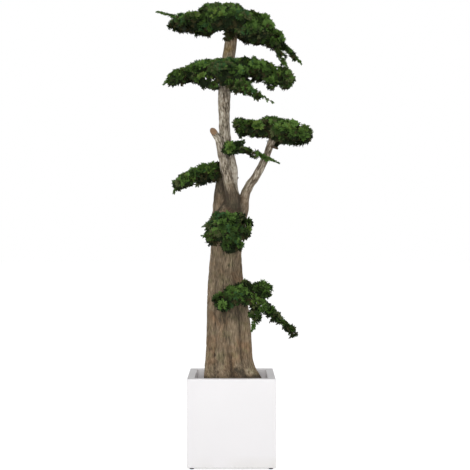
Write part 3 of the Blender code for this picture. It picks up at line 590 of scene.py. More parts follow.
# Each mass has its stem: a point inside the limb that it leaves, a bend and a radius. It has its lobes: a
# middle, three half sizes along X, Y and Z, and how many degrees the +X end falls. It has the points that
# each trailing twig runs through. Some have their own share of brown sprays, dead and painted shade.
MASSES = {
    "crown_left": {
        "stem": ((0.008, 0.0, 2.285), (-0.045, -0.004, 2.320), 0.014),
        "lobes": (
            ((-0.202, 0.000, 2.337), (0.132, 0.140, 0.039), -5),
            ((-0.092, 0.000, 2.374), (0.090, 0.125, 0.064), 0),
            ((-0.005, -0.020, 2.382), (0.070, 0.105, 0.046), 6),
            ((-0.138, -0.020, 2.303), (0.076, 0.090, 0.032), 0),
        ),
        "tails": (((-0.276, 0.010, 2.360), (-0.338, 0.020, 2.382), (-0.395, 0.026, 2.399)),),
    },
    "crown_right": {
        "stem": ((0.010, 0.0, 2.280), (0.062, 0.0, 2.305), 0.014),
        "lobes": (
            ((0.118, 0.000, 2.324), (0.124, 0.140, 0.066), 22),
            ((0.212, -0.005, 2.250), (0.084, 0.100, 0.052), 46),
            ((0.303, 0.010, 2.181), (0.064, 0.036, 0.022), 52),
            ((0.100, -0.020, 2.278), (0.096, 0.095, 0.036), 12),
            ((0.256, -0.046, 2.146), (0.017, 0.022, 0.048), -14),
        ),
        "tails": (
            ((0.306, 0.012, 2.186), (0.340, 0.015, 2.156), (0.372, 0.015, 2.122)),
            ((0.266, -0.052, 2.136), (0.280, -0.066, 2.114), (0.290, -0.076, 2.092)),
        ),
    },
    "crown_front": {
        "stem": ((0.006, 0.0, 2.262), (0.008, -0.060, 2.285), 0.011),
        "lobes": (
            ((-0.016, -0.180, 2.322), (0.114, 0.108, 0.052), 4),
            ((0.104, -0.158, 2.262), (0.084, 0.072, 0.040), 14),
            ((-0.008, -0.036, 2.256), (0.038, 0.030, 0.018), 0),
        ),
        "tails": (),
    },
    "crown_back": {
        "stem": ((0.010, 0.0, 2.292), (0.012, 0.060, 2.318), 0.011),
        "lobes": (
            ((-0.050, 0.180, 2.366), (0.128, 0.106, 0.055), 0),
            ((0.112, 0.165, 2.314), (0.102, 0.090, 0.052), 18),
        ),
        "tails": (),
    },
    "tier_left": {
        "stem": ((-0.028, 0.0, 2.050), (-0.075, 0.0, 2.070), 0.013),
        "lobes": (
            ((-0.158, -0.006, 2.078), (0.136, 0.136, 0.046), -14),
            ((-0.262, -0.014, 2.048), (0.084, 0.078, 0.030), -18),
        ),
        "tails": (((-0.306, -0.020, 2.034), (-0.334, -0.028, 2.020), (-0.356, -0.034, 2.004)),),
    },
    "tier_right": {
        "stem": ((-0.022, 0.0, 2.060), (0.030, 0.0, 2.085), 0.013),
        "lobes": (
            ((0.120, 0.000, 2.090), (0.132, 0.140, 0.048), 11),
            ((0.268, 0.000, 2.048), (0.062, 0.078, 0.048), 16),
            ((0.214, -0.025, 2.018), (0.046, 0.050, 0.032), 0),
            ((0.284, -0.010, 2.016), (0.030, 0.036, 0.028), 0),
        ),
        "tails": (),
    },
    "tier_front": {
        "stem": ((-0.026, 0.0, 2.030), (-0.020, -0.070, 2.046), 0.012),
        "lobes": (
            ((-0.020, -0.176, 2.050), (0.108, 0.105, 0.060), 5),
            ((-0.112, -0.120, 2.010), (0.078, 0.062, 0.030), 0),
            ((0.042, -0.200, 1.976), (0.074, 0.046, 0.034), 20),
            ((0.114, -0.210, 1.948), (0.056, 0.034, 0.026), 28),
        ),
        "tails": (((0.140, -0.213, 1.930), (0.178, -0.218, 1.908), (0.210, -0.222, 1.886)),),
    },
    "tier_back": {
        "stem": ((-0.024, 0.0, 2.070), (-0.020, 0.070, 2.090), 0.012),
        "lobes": (
            ((-0.040, 0.174, 2.102), (0.132, 0.110, 0.052), -4),
            ((0.082, 0.180, 2.072), (0.074, 0.080, 0.044), 10),
        ),
        "tails": (((-0.095, 0.232, 2.080), (-0.120, 0.252, 2.064), (-0.142, 0.268, 2.044)),),
    },
    "right_pad": {
        "stem": ((0.214, -0.071, 1.702), (0.232, -0.080, 1.735), 0.013),
        "lobes": (
            ((0.284, -0.090, 1.748), (0.118, 0.120, 0.056), 6),
            ((0.134, -0.090, 1.762), (0.108, 0.105, 0.036), 0),
            ((0.196, -0.090, 1.780), (0.060, 0.080, 0.034), 0),
            ((0.046, -0.095, 1.782), (0.038, 0.060, 0.030), 0),
            ((0.074, -0.095, 1.752), (0.044, 0.060, 0.024), 0),
            ((0.364, -0.090, 1.730), (0.062, 0.085, 0.050), 0),
            ((0.226, -0.036, 1.692), (0.038, 0.030, 0.020), 0),
        ),
        "tails": (),
    },
    "side_sprig": {
        "stem": ((-0.018, 0.010, 1.640), (-0.004, -0.045, 1.672), 0.008),
        "lobes": (
            ((0.008, -0.115, 1.660), (0.050, 0.042, 0.028), 5),
            ((0.036, -0.120, 1.684), (0.028, 0.028, 0.014), 0),
            ((0.030, -0.122, 1.668), (0.030, 0.026, 0.016), 0),
            ((0.060, -0.124, 1.646), (0.032, 0.026, 0.018), 0),
            ((0.074, -0.125, 1.640), (0.056, 0.028, 0.020), 10),
            ((0.096, -0.126, 1.635), (0.036, 0.026, 0.020), 0),
            ((0.124, -0.128, 1.628), (0.050, 0.024, 0.015), 12),
        ),
        "tails": (((0.150, -0.130, 1.616), (0.200, -0.132, 1.598), (0.246, -0.132, 1.580)),),
        "brown_and_shade": 0.05,
    },
    "left_pad": {
        "stem": ((-0.062, 0.010, 1.506), (-0.092, 0.008, 1.526), 0.011),
        "lobes": (
            ((-0.138, 0.000, 1.532), (0.108, 0.102, 0.048), -14),
            ((-0.078, 0.010, 1.548), (0.040, 0.060, 0.036), 0),
            ((-0.236, 0.000, 1.504), (0.078, 0.068, 0.034), -30),
        ),
        "tails": (((-0.284, 0.000, 1.470), (-0.298, 0.000, 1.450), (-0.306, 0.000, 1.430)),),
    },
    "trunk_collar": {
        "stem": ((-0.026, -0.040, 1.225), (-0.026, -0.120, 1.235), 0.010),
        "lobes": (
            ((-0.028, -0.118, 1.242), (0.094, 0.062, 0.076), 0),
            ((-0.106, -0.066, 1.216), (0.036, 0.054, 0.066), 0),
            ((0.068, -0.066, 1.244), (0.036, 0.054, 0.060), 0),
            ((0.000, -0.128, 1.150), (0.056, 0.042, 0.036), 0),
            ((-0.068, -0.082, 1.296), (0.034, 0.038, 0.022), 0),
            ((0.052, -0.078, 1.298), (0.036, 0.038, 0.022), 0),
        ),
        "tails": (
            ((-0.108, -0.100, 1.258), (-0.130, -0.104, 1.256), (-0.146, -0.106, 1.246)),
            ((-0.108, -0.104, 1.192), (-0.132, -0.108, 1.196), (-0.150, -0.110, 1.198)),
        ),
        "brown_and_shade": 0.12,
    },
    "low_spray": {
        "stem": ((0.010, -0.040, 0.880), (0.050, -0.118, 0.900), 0.011),
        "lobes": (
            ((0.034, -0.142, 0.898), (0.088, 0.050, 0.044), -6),
            ((0.148, -0.110, 0.912), (0.062, 0.060, 0.045), 0),
            ((-0.048, -0.140, 0.852), (0.036, 0.042, 0.044), -30),
            ((0.080, -0.130, 0.930), (0.034, 0.042, 0.030), 0),
            ((0.128, -0.156, 0.849), (0.080, 0.042, 0.032), 34),
            ((0.213, -0.140, 0.799), (0.088, 0.036, 0.0265), 42),
            ((0.304, -0.137, 0.714), (0.050, 0.028, 0.021), 42),
            ((0.124, -0.150, 0.790), (0.026, 0.026, 0.034), 0),
        ),
        "tails": (
            ((0.262, -0.136, 0.758), (0.303, -0.134, 0.720), (0.338, -0.130, 0.686)),
            ((0.122, -0.148, 0.756), (0.118, -0.145, 0.730), (0.106, -0.140, 0.706)),
        ),
        "brown_and_shade": 0.15,
    },
}


# Camera and lamps: each lamp's place, aim, side and watts. The room's own even light, and how much brighter
# than its lit self the floor looks, as a swept white floor does.
CAMERA_PLACE = (0.019, -5.80, 1.204)
CAMERA_LENS = 83.26
LAMPS = (
    ("key_lamp", (-1.9, -6.0, 2.3), (0.0, 0.0, 1.2), 2.6, 88.0),
    ("front_lamp", (0.0, -6.6, 1.9), (0.0, 0.0, 1.1), 1.2, 102.0),
    ("fill_lamp", (2.6, -5.4, 2.1), (0.0, 0.0, 1.2), 2.6, 30.0),
    ("top_lamp", (0.0, -0.8, 5.4), (0.0, 0.0, 1.0), 2.6, 13.0),
    ("back_left_lamp", (-4.3, 3.4, 2.2), (0.0, 0.0, 1.2), 2.4, 64.0),
    ("back_right_lamp", (4.3, 3.4, 2.2), (0.0, 0.0, 1.2), 2.4, 64.0),
)
ROOM_LIGHT = 0.46
FLOOR_GLOW = 0.62
FLOOR_REACH = 40
WHITE = (1.0, 1.0, 1.0, 1.0)


def smooth(stations, per_span):
    """Points of a Catmull-Rom curve through the stations, with whatever sizes follow the places."""
    knots = np.array(stations, float)
    ends = np.vstack([2 * knots[0] - knots[1], knots, 2 * knots[-1] - knots[-2]])
    found = []
    for a, b, c, d in zip(ends, ends[1:], ends[2:], ends[3:]):
        for step in range(per_span):
            t = step / per_span
            bend = (2 * a - 5 * b + 4 * c - d) * t**2
            swing = (3 * b - 3 * c + d - a) * t**3
            found.append(b + (c - a) * t / 2 + bend / 2 + swing / 2)
    found.append(knots[-1])
    return np.array(found)


def unit(vectors):
    return vectors / np.maximum(np.linalg.norm(vectors, axis=-1, keepdims=True), 1e-12)


def ease(value, low, high):
    """From 0 at low to 1 at high, smoothly."""
    share = np.clip((value - low) / (high - low), 0, 1)
    return share * share * (3 - 2 * share)


SLOPES = unit(np.random.default_rng(11).normal(size=(256, 3)))
MIXERS = np.array((374761393, 668265263, 2147483629))


def noise(points, size, seed=0):
    """Smooth noise from about -1 to 1 with lumps of this size, which may differ along x, y and z."""
    places = points / np.broadcast_to(np.asarray(size, float), 3) + seed * 19.19
    cell = np.floor(places).astype(np.int64)
    part = places - cell
    fade = part**3 * (part * (part * 6 - 15) + 10)
    total = np.zeros(places.shape[:-1])
    for corner in itertools.product((0, 1), repeat=3):
        mixed = (((cell + corner) & 0xFFFF) * MIXERS).sum(axis=-1) & 0x7FFFFFFF
        mixed = ((mixed ^ (mixed >> 13)) * 1274126177) & 0x7FFFFFFF
        slope = SLOPES[(mixed ^ (mixed >> 15)) & 255]
        share = np.where(np.array(corner, bool), fade, 1 - fade).prod(axis=-1)
        total += share * ((part - corner) * slope).sum(axis=-1)
    return total * 1.7


def put_in_scene(name, data):
    """An object of this name in the scene that holds the data."""
    made = bpy.data.objects.new(name, data)
    bpy.context.scene.collection.objects.link(made)
    return made


def add_piece(name, points, faces, finishes, which=None, rounded=False):
    """A mesh object of these points and faces. which gives each face's place in the list of finishes."""
    mesh = bpy.data.meshes.new(name)
    mesh.from_pydata(points, [], faces)
    for finish in finishes:
        mesh.materials.append(finish)
    if which is not None:
        mesh.polygons.foreach_set("material_index", np.asarray(which, np.int32))
    mesh.polygons.foreach_set("use_smooth", np.full(len(mesh.polygons), rounded))
    mesh.update()
    return put_in_scene(name, mesh)


def add_values(piece, name, values):
    """Keeps one number or one vector for each point of the piece."""
    kind, field = ("FLOAT", "value") if values.ndim == 1 else ("FLOAT_VECTOR", "vector")
    piece.data.attributes.new(name, kind, "POINT").data.foreach_set(field, values.astype(np.float32).ravel())


def settled(piece):
    """The piece with its modifiers carried out in its mesh and removed."""
    bpy.context.view_layer.update()
    graph = bpy.context.evaluated_depsgraph_get()
    made = bpy.data.meshes.new_from_object(piece.evaluated_get(graph))
    piece.modifiers.clear()
    made.name = piece.name
    piece.data = made
    return piece


def hand_over(piece, slot, *nodes):
    """Gives a finished piece to the part: it hangs from the root body and stands for these nodes, which are
    hidden. The slot is not used.
    """
    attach(piece, "root")
    if nodes:
        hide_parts(*nodes)


def add_node(tree, kind, **values):
    """A node with its settings, and its unlinked inputs where a name matches one."""
    made = tree.nodes.new(kind)
    for name, value in values.items():
        title = name.replace("_", " ").title()
        if hasattr(made, name):
            setattr(made, name, value)
        else:
            made.inputs[title].default_value = value
    return made


def join(tree, source, target):
    """Leads a source into an input: a node's output is joined to it, anything else is set as its value."""
    if isinstance(source, bpy.types.NodeSocket):
        tree.links.new(source, target)
    else:
        target.default_value = source


def wired(tree, kind, sources, **values):
    """A node with its settings, and with its inputs, by name or number, led from their sources."""
    made = add_node(tree, kind, **values)
    for name, source in sources.items():
        join(tree, source, made.inputs[name])
    return made


def maths(tree, operation, *sources):
    """The result of one operation on up to three numbers."""
    return wired(tree, "ShaderNodeMath", dict(enumerate(sources)), operation=operation).outputs[0]


def vector_maths(tree, operation, *sources):
    """The result of one operation on up to three vectors."""
    return wired(tree, "ShaderNodeVectorMath", dict(enumerate(sources)), operation=operation).outputs[0]


def new_group(name, kind, takes, gives):
    """A node group with inputs and outputs of these names and kinds, and the sockets at both its ends."""
    group = bpy.data.node_groups.new(name, kind)
    for side, sockets in (("INPUT", takes), ("OUTPUT", gives)):
        for title, sort in sockets.items():
            group.interface.new_socket(title, in_out=side, socket_type=f"NodeSocket{sort}")
    return group, group.nodes.new("NodeGroupInput").outputs, group.nodes.new("NodeGroupOutput").inputs


def new_finish(name, roughness):
    """A material and its Principled shader."""
    finish = bpy.data.materials.new(name)
    finish.use_nodes = True
    shader = finish.node_tree.nodes["Principled BSDF"]
    shader.inputs["Roughness"].default_value = roughness
    return finish, finish.node_tree, shader


def make_grain_group():
    """Fibres and patches that run with a grain: its vector, the fibres' width and length, a patch's size."""
    takes = {"Grain": "Vector", "Fibre Width": "Float", "Fibre Length": "Float", "Patch Size": "Float"}
    gives = {"Fibre": "Float", "Patch": "Float"}
    group, start, end = new_group("grain_and_patches", "ShaderNodeTree", takes, gives)
    for name, sizes, looks in (
        ("Fibre", ("Fibre Width", "Fibre Width", "Fibre Length"), {"detail": 4.0, "roughness": 0.62}),
        ("Patch", ("Patch Size",) * 3, {"detail": 5.0, "roughness": 0.58, "distortion": 0.4}),
    ):
        size = wired(group, "ShaderNodeCombineXYZ", {axis: start[title] for axis, title in zip("XYZ", sizes)})
        place = vector_maths(group, "DIVIDE", start["Grain"], size.outputs[0])
        texture = wired(group, "ShaderNodeTexNoise", {"Vector": place}, scale=1.0, **looks)
        join(group, texture.outputs["Fac"], end[name])
    return group


def ramp(tree, source, *stops):
    """A colour ramp fed by the source, with stops of place and colour."""
    made = tree.nodes.new("ShaderNodeValToRGB")
    line = made.color_ramp
    while len(line.elements) < len(stops):
        line.elements.new(0.5)
    for element, (place, colour) in zip(line.elements, stops):
        element.position = place
        element.color = (*colour, 1.0)
    join(tree, source, made.inputs["Fac"])
    return made.outputs["Color"]


def span(tree, source, low, high, to_low=0.0, to_high=1.0):
    """The source, stretched from low and high to two other numbers."""
    sources = {"Value": source, "From Min": low, "From Max": high, "To Min": to_low, "To Max": to_high}
    return wired(tree, "ShaderNodeMapRange", sources, clamp=True).outputs["Result"]


def blended(tree, share, first, second, kind="MIX"):
    """Two colours mixed by a share from 0 to 1."""
    sources = {0: share, 6: first, 7: second}
    return wired(tree, "ShaderNodeMix", sources, data_type="RGBA", blend_type=kind).outputs[2]


def tinted(tree, colour, noises, tints):
    """The colour with each tint multiplied in, as far as its noise says."""
    for name, low, high, most, tint in tints:
        colour = blended(tree, span(tree, noises[name], low, high, 0.0, most), colour, tint, "MULTIPLY")
    return colour


def sum_of(tree, first, second, share):
    """first plus a share of second."""
    return maths(tree, "MULTIPLY_ADD", second, share, first)


def bump(tree, shader, height, strength, distance):
    made = wired(tree, "ShaderNodeBump", {"Height": height}, strength=strength, distance=distance)
    join(tree, made.outputs["Normal"], shader.inputs["Normal"])


def place_grain(group, tree, grain, **sizes):
    """The shared grain group in one material, with that material's own sizes."""
    made = tree.nodes.new("ShaderNodeGroup")
    made.node_tree = group
    join(tree, grain, made.inputs["Grain"])
    for name, value in sizes.items():
        made.inputs[name.replace("_", " ").title()].default_value = value
    return made.outputs["Fibre"], made.outputs["Patch"]


def attribute(tree, name, output):
    return add_node(tree, "ShaderNodeAttribute", attribute_name=name).outputs[output]


def own_places(tree):
    """Places in the object's own space."""
    return add_node(tree, "ShaderNodeTexCoord").outputs["Object"]


def make_bark(name, group):
    """Brown fluted bark that turns pale and flecked wherever the skin says so."""
    finish, tree, shader = new_finish(name, 0.9)
    grain = attribute(tree, "grain", "Vector")
    # The relief attribute holds the bark's tone, with painted shade and a painted highlight in it
    relief = attribute(tree, "relief", "Fac")
    pale = attribute(tree, "pale", "Fac")
    fibre, patch = place_grain(group, tree, grain, fibre_width=0.0032, fibre_length=0.026, patch_size=0.11)
    fleck, mottle = place_grain(group, tree, grain, fibre_width=0.0055, fibre_length=0.026, patch_size=0.042)
    noises = {"patch": patch, "mottle": mottle}
    depth = sum_of(tree, relief, span(tree, fibre, 0.30, 0.70, -0.5, 0.5), 0.55)
    brown = tinted(tree, ramp(tree, depth, *BROWN_BARK), noises, BROWN_TINTS)
    height = sum_of(tree, relief, span(tree, fleck, 0.34, 0.66, -0.5, 0.5), 0.75)
    light = tinted(tree, ramp(tree, height, *PALE_BARK), noises, PALE_TINTS)
    clean = blended(tree, pale, brown, light)
    share = maths(tree, "MULTIPLY", attribute(tree, "lichen", "Fac"), span(tree, mottle, 0.38, 0.54))
    colour = blended(tree, share, clean, LICHEN_TINT, "MULTIPLY")
    join(tree, colour, shader.inputs["Base Color"])
    join(tree, span(tree, fibre, 0.3, 0.7, 0.96, 0.78), shader.inputs["Roughness"])
    bump(tree, shader, sum_of(tree, fibre, fleck, 0.5), 0.55, 0.0022)
    return finish


def make_cut_wood(name, group):
    """The sawn face of a branch: orange-tan with growth rings and a dark heart."""
    finish, tree, shader = new_finish(name, 0.7)
    grain = attribute(tree, "grain", "Vector")
    fibre, patch = place_grain(group, tree, grain, fibre_width=0.004, fibre_length=0.004, patch_size=0.012)
    looks = {"wave_type": "RINGS", "rings_direction": "Z", "scale": 170.0, "distortion": 2.0}
    rings = wired(tree, "ShaderNodeTexWave", {"Vector": grain}, **looks)
    tone = sum_of(tree, patch, rings.outputs["Fac"], 0.35)
    join(tree, ramp(tree, tone, *SAWN_WOOD), shader.inputs["Base Color"])
    join(tree, span(tree, fibre, 0.3, 0.7, 0.6, 0.85), shader.inputs["Roughness"])
    bump(tree, shader, tone, 0.3, 0.0008)
    return finish


def make_twig_bark(name, group):
    """Thin scaly bark on the twigs, dark brown with warmer patches."""
    finish, tree, shader = new_finish(name, 0.85)
    sizes = {"fibre_width": 0.004, "fibre_length": 0.010, "patch_size": 0.060}
    fibre, patch = place_grain(group, tree, own_places(tree), **sizes)
    join(tree, ramp(tree, sum_of(tree, fibre, patch, 0.6), *TWIG_BARK), shader.inputs["Base Color"])
    bump(tree, shader, fibre, 0.5, 0.001)
    return finish


def make_leaf_finishes():
    """One plain matte green or brown for each kind of spray."""
    finishes = []
    for name, (colour, roughness) in LEAF_FINISHES.items():
        finish, _, shader = new_finish(name, roughness)
        shader.inputs["Base Color"].default_value = (*colour, 1.0)
        shader.inputs["Specular IOR Level"].default_value = LEAF_SHEEN
        finishes.append(finish)
    return finishes


def make_mulch(name, group, dark, light):
    """Dry bark chips: streaky browns between two colours."""
    finish, tree, shader = new_finish(name, 0.92)
    sizes = {"fibre_width": 0.004, "fibre_length": 0.004, "patch_size": 0.030}
    fibre, patch = place_grain(group, tree, own_places(tree), **sizes)
    tone = sum_of(tree, fibre, patch, 0.7)
    join(tree, ramp(tree, tone, (0.60, dark), (1.05, light)), shader.inputs["Base Color"])
    join(tree, span(tree, fibre, 0.3, 0.7, 0.98, 0.82), shader.inputs["Roughness"])
    bump(tree, shader, tone, 0.7, 0.0015)
    return finish


def make_planter_white(name):
    """Satin white paint: faint waves, a little orange peel and a trace of dust low down."""
    finish, tree, shader = new_finish(name, 0.3)
    places = {"Vector": own_places(tree)}
    peel = wired(tree, "ShaderNodeTexNoise", places, scale=420.0, detail=2.0).outputs["Fac"]
    wave = wired(tree, "ShaderNodeTexNoise", places, scale=5.0, detail=1.0).outputs["Fac"]
    low = span(tree, wired(tree, "ShaderNodeSeparateXYZ", places).outputs["Z"], 0.075, 0.008)
    dusty = maths(tree, "MULTIPLY", low, span(tree, wave, 0.35, 0.75))
    clean = ramp(tree, wave, (0.2, (0.838, 0.823, 0.832)), (0.8, (0.849, 0.834, 0.843)))
    join(tree, blended(tree, dusty, clean, (0.74, 0.72, 0.69, 1.0)), shader.inputs["Base Color"])
    join(tree, span(tree, wave, 0.2, 0.8, 0.29, 0.33), shader.inputs["Roughness"])
    shader.inputs["Coat Weight"].default_value = 0.25
    shader.inputs["Coat Roughness"].default_value = 0.18
    bump(tree, shader, peel, 0.06, 0.0006)
    return finish


def make_rubber(name):
    """Matt black rubber with fine pores."""
    finish, tree, shader = new_finish(name, 0.75)
    looks = {"scale": 900.0, "detail": 2.0}
    pores = wired(tree, "ShaderNodeTexNoise", {"Vector": own_places(tree)}, **looks).outputs["Fac"]
    colour = ramp(tree, pores, (0.3, (0.045, 0.045, 0.046)), (0.7, (0.075, 0.074, 0.072)))
    join(tree, colour, shader.inputs["Base Color"])
    join(tree, span(tree, pores, 0.3, 0.7, 0.82, 0.68), shader.inputs["Roughness"])
    bump(tree, shader, pores, 0.2, 0.0004)
    return finish


def trunk_line(heights):
    """Middle x and y, half width and half depth of the trunk at these heights."""
    line = smooth(TRUNK, 8)
    return [np.interp(heights, line[:, 0], line[:, column]) for column in (1, 2, 3, 4)]


def turned_from(bearing, middle):
    """How many degrees each bearing lies beside the middle, the short way round."""
    return (bearing - middle + 180) % 360 - 180


def spun(x, y, angle):
    """x and y turned about the middle by an angle in radians."""
    return x * np.cos(angle) - y * np.sin(angle), x * np.sin(angle) + y * np.cos(angle)


def rib_swell(bearing, height):
    """How far ribs and furrows make the trunk stand out at each bearing and height, and their cracks."""
    swell = np.zeros(np.broadcast(bearing, height).shape)
    crack = np.zeros_like(swell)
    sway, sway_often = CRACK_SWAY
    shake, shake_often = CRACK_SHAKE
    for foot_bearing, top_bearing, low, high, half_angle, rise in RIBS:
        middle = foot_bearing + (top_bearing - foot_bearing) * (height - low) / (high - low)
        off = turned_from(bearing, middle)
        length = np.clip(np.minimum(height - low, high - height) / RIB_FADE, 0, 1)
        swell += rise * length * np.exp(-((off / half_angle) ** 2))
        if rise < 0:
            bend = sway * np.sin(height * sway_often + foot_bearing) + shake * np.sin(height * shake_often)
            across = np.radians(off + bend) * CRACK_RADIUS / CRACK_WIDTH
            crack += rise * length * np.exp(-(across**2))
    return swell, crack


def trunk_grid():
    """Rows of points round the trunk, the straight grain that belongs to them, and each point's bearing."""
    rows = np.linspace(TRUNK_FOOT, TRUNK[-1][0], TRUNK_ROWS)
    x, y, wide, deep = (column[:, None] for column in trunk_line(rows))
    z = rows[:, None]
    turn = np.linspace(0, 2 * np.pi, TRUNK_COLUMNS, endpoint=False)[None, :]
    depth = FLUTE_DEPTH * np.clip((FLUTE_TOP - z) / FLUTE_FADE, 0, 1)
    flute = 1 + depth * np.cos(FLUTES * turn + FLUTE_TWIST * z)
    out = np.zeros_like(flute)
    for bearing, size, half_angle in ROOTS:
        off = turned_from(np.degrees(turn), bearing)
        out += size * np.exp(-((off / half_angle) ** 2) - (z - GROUND) / ROOT_RISE)
    out += rib_swell(np.degrees(turn), z)[0]
    across = np.cos(turn) * (wide * flute + out)
    along = np.sin(turn) * (deep * flute + out)
    points = np.stack([x + across, y + along, np.broadcast_to(z, across.shape)], axis=-1)
    grain = np.stack([*spun(across, along, FLUTE_TWIST / FLUTES * z), points[..., 2]], axis=-1)
    return points, grain, np.degrees(turn) + 0 * z


def distance_along(path):
    """How far each point of a path is from its start, measured along it."""
    return np.concatenate([[0], np.cumsum(np.linalg.norm(np.diff(path[:, :3], axis=0), axis=1))])


def at_distance(path, gone, distance):
    """The path's values at one or more distances from its start."""
    return np.stack([np.interp(distance, gone, column) for column in path.T], axis=-1)


def limb_grid(stations):
    """Rows of points round a limb, square to its path, and the straight grain that belongs to them."""
    path = smooth(stations, 12)
    gone = distance_along(path)
    path = at_distance(path, gone, np.linspace(0, gone[-1], round(gone[-1] / LIMB_ROW)))
    turn = np.linspace(0, 2 * np.pi, LIMB_COLUMNS, endpoint=False)[:, None]
    ways = unit(np.gradient(path[:, :3], axis=0))
    across = np.array((0.0, 1.0, 0.0))
    points, grain = [], []
    for (x, y, z, radius), along in zip(path, ways):
        across = unit(across - along * across.dot(along))
        up = np.cross(along, across)
        points.append((x, y, z) + radius * (np.cos(turn) * across + np.sin(turn) * up))
        flat = radius * np.hstack([np.cos(turn), np.sin(turn)])
        grain.append(np.hstack([flat, np.full_like(turn, z)]))
    return np.array(points), np.array(grain)


def outward(points):
    """The direction square to the skin at each point of the grid."""
    around = np.roll(points, -1, axis=1) - np.roll(points, 1, axis=1)
    along = np.gradient(points, axis=0)
    return unit(np.cross(around, along))


def beyond_trunk(points):
    """Roughly how far each point lies outside the trunk's skin."""
    x, y, wide, deep = trunk_line(points[..., 2])
    reach = np.hypot((points[..., 0] - x) / wide, (points[..., 1] - y) / deep)
    over = np.maximum(points[..., 2] - TRUNK[-1][0], 0)
    return np.maximum((reach - 1) * np.minimum(wide, deep), over)


def beyond_limb(points, stations):
    """Roughly how far each point lies outside one limb's skin."""
    nearest = np.full(points.shape[:-1], 9.0)
    for x, y, z, radius in smooth(stations, 6):
        away = np.linalg.norm(points - (x, y, z), axis=-1) - radius
        nearest = np.minimum(nearest, away)
    return nearest


def beyond_wood(points):
    found = [beyond_trunk(points)]
    found += [beyond_limb(points, stations) for stations in LIMBS.values()]
    return np.min(found, axis=0)


def furrows(points, size, width, seed):
    """1 in narrow furrows that wander between strips of this size, and 0 on the strips."""
    return np.exp(-((noise(points, size, seed) / width) ** 2))


def bark_relief(grain, pale):
    """How far bark stands out at each point, in metres, and its tone from 0 in a furrow to 1 on a strip."""
    wander = noise(grain, (0.05, 0.05, 0.16), 3)[..., None] * (0.0040, -0.0030, 0)
    lines = grain + wander
    broad = noise(lines, (0.042, 0.042, 0.34), 9)
    deep = noise(lines, (0.095, 0.095, 0.60), 12)
    wide = furrows(lines, (0.0100, 0.0100, 0.170), 0.20, 1)
    fine = furrows(lines, (0.0056, 0.0056, 0.080), 0.24, 2)
    fibre = noise(lines, (0.0042, 0.0042, 0.032), 4)
    blotch = noise(grain, (0.030, 0.030, 0.085), 8)
    streak = noise(lines, (0.0085, 0.0085, 0.060), 14)
    lump = noise(grain, (0.020, 0.020, 0.032), 6)
    fleck = noise(grain, (0.007, 0.007, 0.011), 7)
    brown = SWELL * (0.8 * broad + deep) - STRIP * wide - FINE_STRIP * fine + FIBRE * fibre
    light = PALE_LUMP * (lump + 0.5 * broad) + PALE_STRIP * streak + PALE_FLECK * fleck
    layers = {"middle": 1, "wide": wide, "fine": fine, "broad": broad, "fibre": fibre, "blotch": blotch}
    layers |= {"lump": lump, "fleck": fleck, "streak": streak}
    brown_tone, light_tone = (
        sum(share * layers[name] for name, share in tone.items()) for tone in (BROWN_TONE, PALE_TONE)
    )
    relief = brown * (1 - pale) + light * pale
    return relief, np.clip(brown_tone * (1 - pale) + light_tone * pale, 0, 1)


def blend_out(away):
    """How far a skin swells beside another skin this far away, so that the two run into each other."""
    near = np.clip(1 - np.abs(away) / BLEND, 0, 1)
    return near * near * BLEND / 4


def shade_between(away):
    """Painted shade: how dark bark is close beside another skin this far away."""
    return CREASE_SHADE * np.exp(-((np.clip(away, 0, None) / CREASE_WIDTH) ** 2))


def closed_faces(grid, foot, top):
    """Faces over rings of point numbers, lowest first, with a fan round the foot and one round the top."""
    low, high = grid[:-1], grid[1:]
    quads = np.stack([low, np.roll(low, -1, axis=1), np.roll(high, -1, axis=1), high], axis=-1)
    fans = [(foot, b, a) for a, b in zip(grid[0], np.roll(grid[0], -1))]
    fans += [(top, a, b) for a, b in zip(grid[-1], np.roll(grid[-1], -1))]
    return quads.reshape(-1, 4).tolist() + fans


def add_skin(name, points, grain, values, finishes, cut=False):
    """A closed skin over the rows of points, with what its bark reads kept at each point."""
    rows, columns = points.shape[:2]
    end = points[-1]
    shares = CUT_RINGS if cut else (0.5,)
    heart = end.mean(axis=0)
    caps = [heart + (end - heart) * share for share in shares]
    places = np.concatenate([points.reshape(-1, 3)] + caps + [points[0].mean(axis=0)[None], heart[None]])
    grid = np.arange((rows + len(caps)) * columns).reshape(-1, columns)
    faces = closed_faces(grid, len(places) - 2, len(places) - 1)
    which = np.zeros(len(faces), int)
    if cut:
        which[(rows * columns) : (rows + len(caps) - 1) * columns] = 1
        which[-columns:] = 1
    piece = add_piece(name, places, faces, finishes, which, rounded=True)
    inner = [grain[-1] * (share, share, 1) for share in shares]
    ends = np.array([grain[0].mean(axis=0), grain[-1].mean(axis=0)])
    add_values(piece, "grain", np.concatenate([grain.reshape(-1, 3)] + inner + [ends]))
    for title, found in values.items():
        rest = np.concatenate([np.tile(found[-1], len(shares)), [found[0, 0], found[-1, 0]]])
        add_values(piece, title, np.concatenate([found.ravel(), rest]))
    return piece


def kept_in_well(points):
    """The trunk's rows, with the foot eased in where it would run into the planter's walls."""
    low = 1 - ease(points[..., 2], *(RIM_HEIGHT + above for above in WELL_END))
    points = points.copy()
    for axis in (0, 1):
        over = np.abs(points[..., axis]) - (WELL_REACH - WELL_EASE)
        pressed = np.where(over > 0, over - WELL_EASE * np.tanh(over / WELL_EASE), 0)
        points[..., axis] -= np.sign(points[..., axis]) * pressed * low
    return points


def in_patches(bearing, height, patches):
    """How strongly each point of the trunk lies in soft-edged patches."""
    total = np.zeros_like(height)
    for middle, wide, level, high, strength in patches:
        off = turned_from(bearing, middle)
        total += strength * np.exp(-((off / wide) ** 2) - ((height - level) / high) ** 2)
    return total


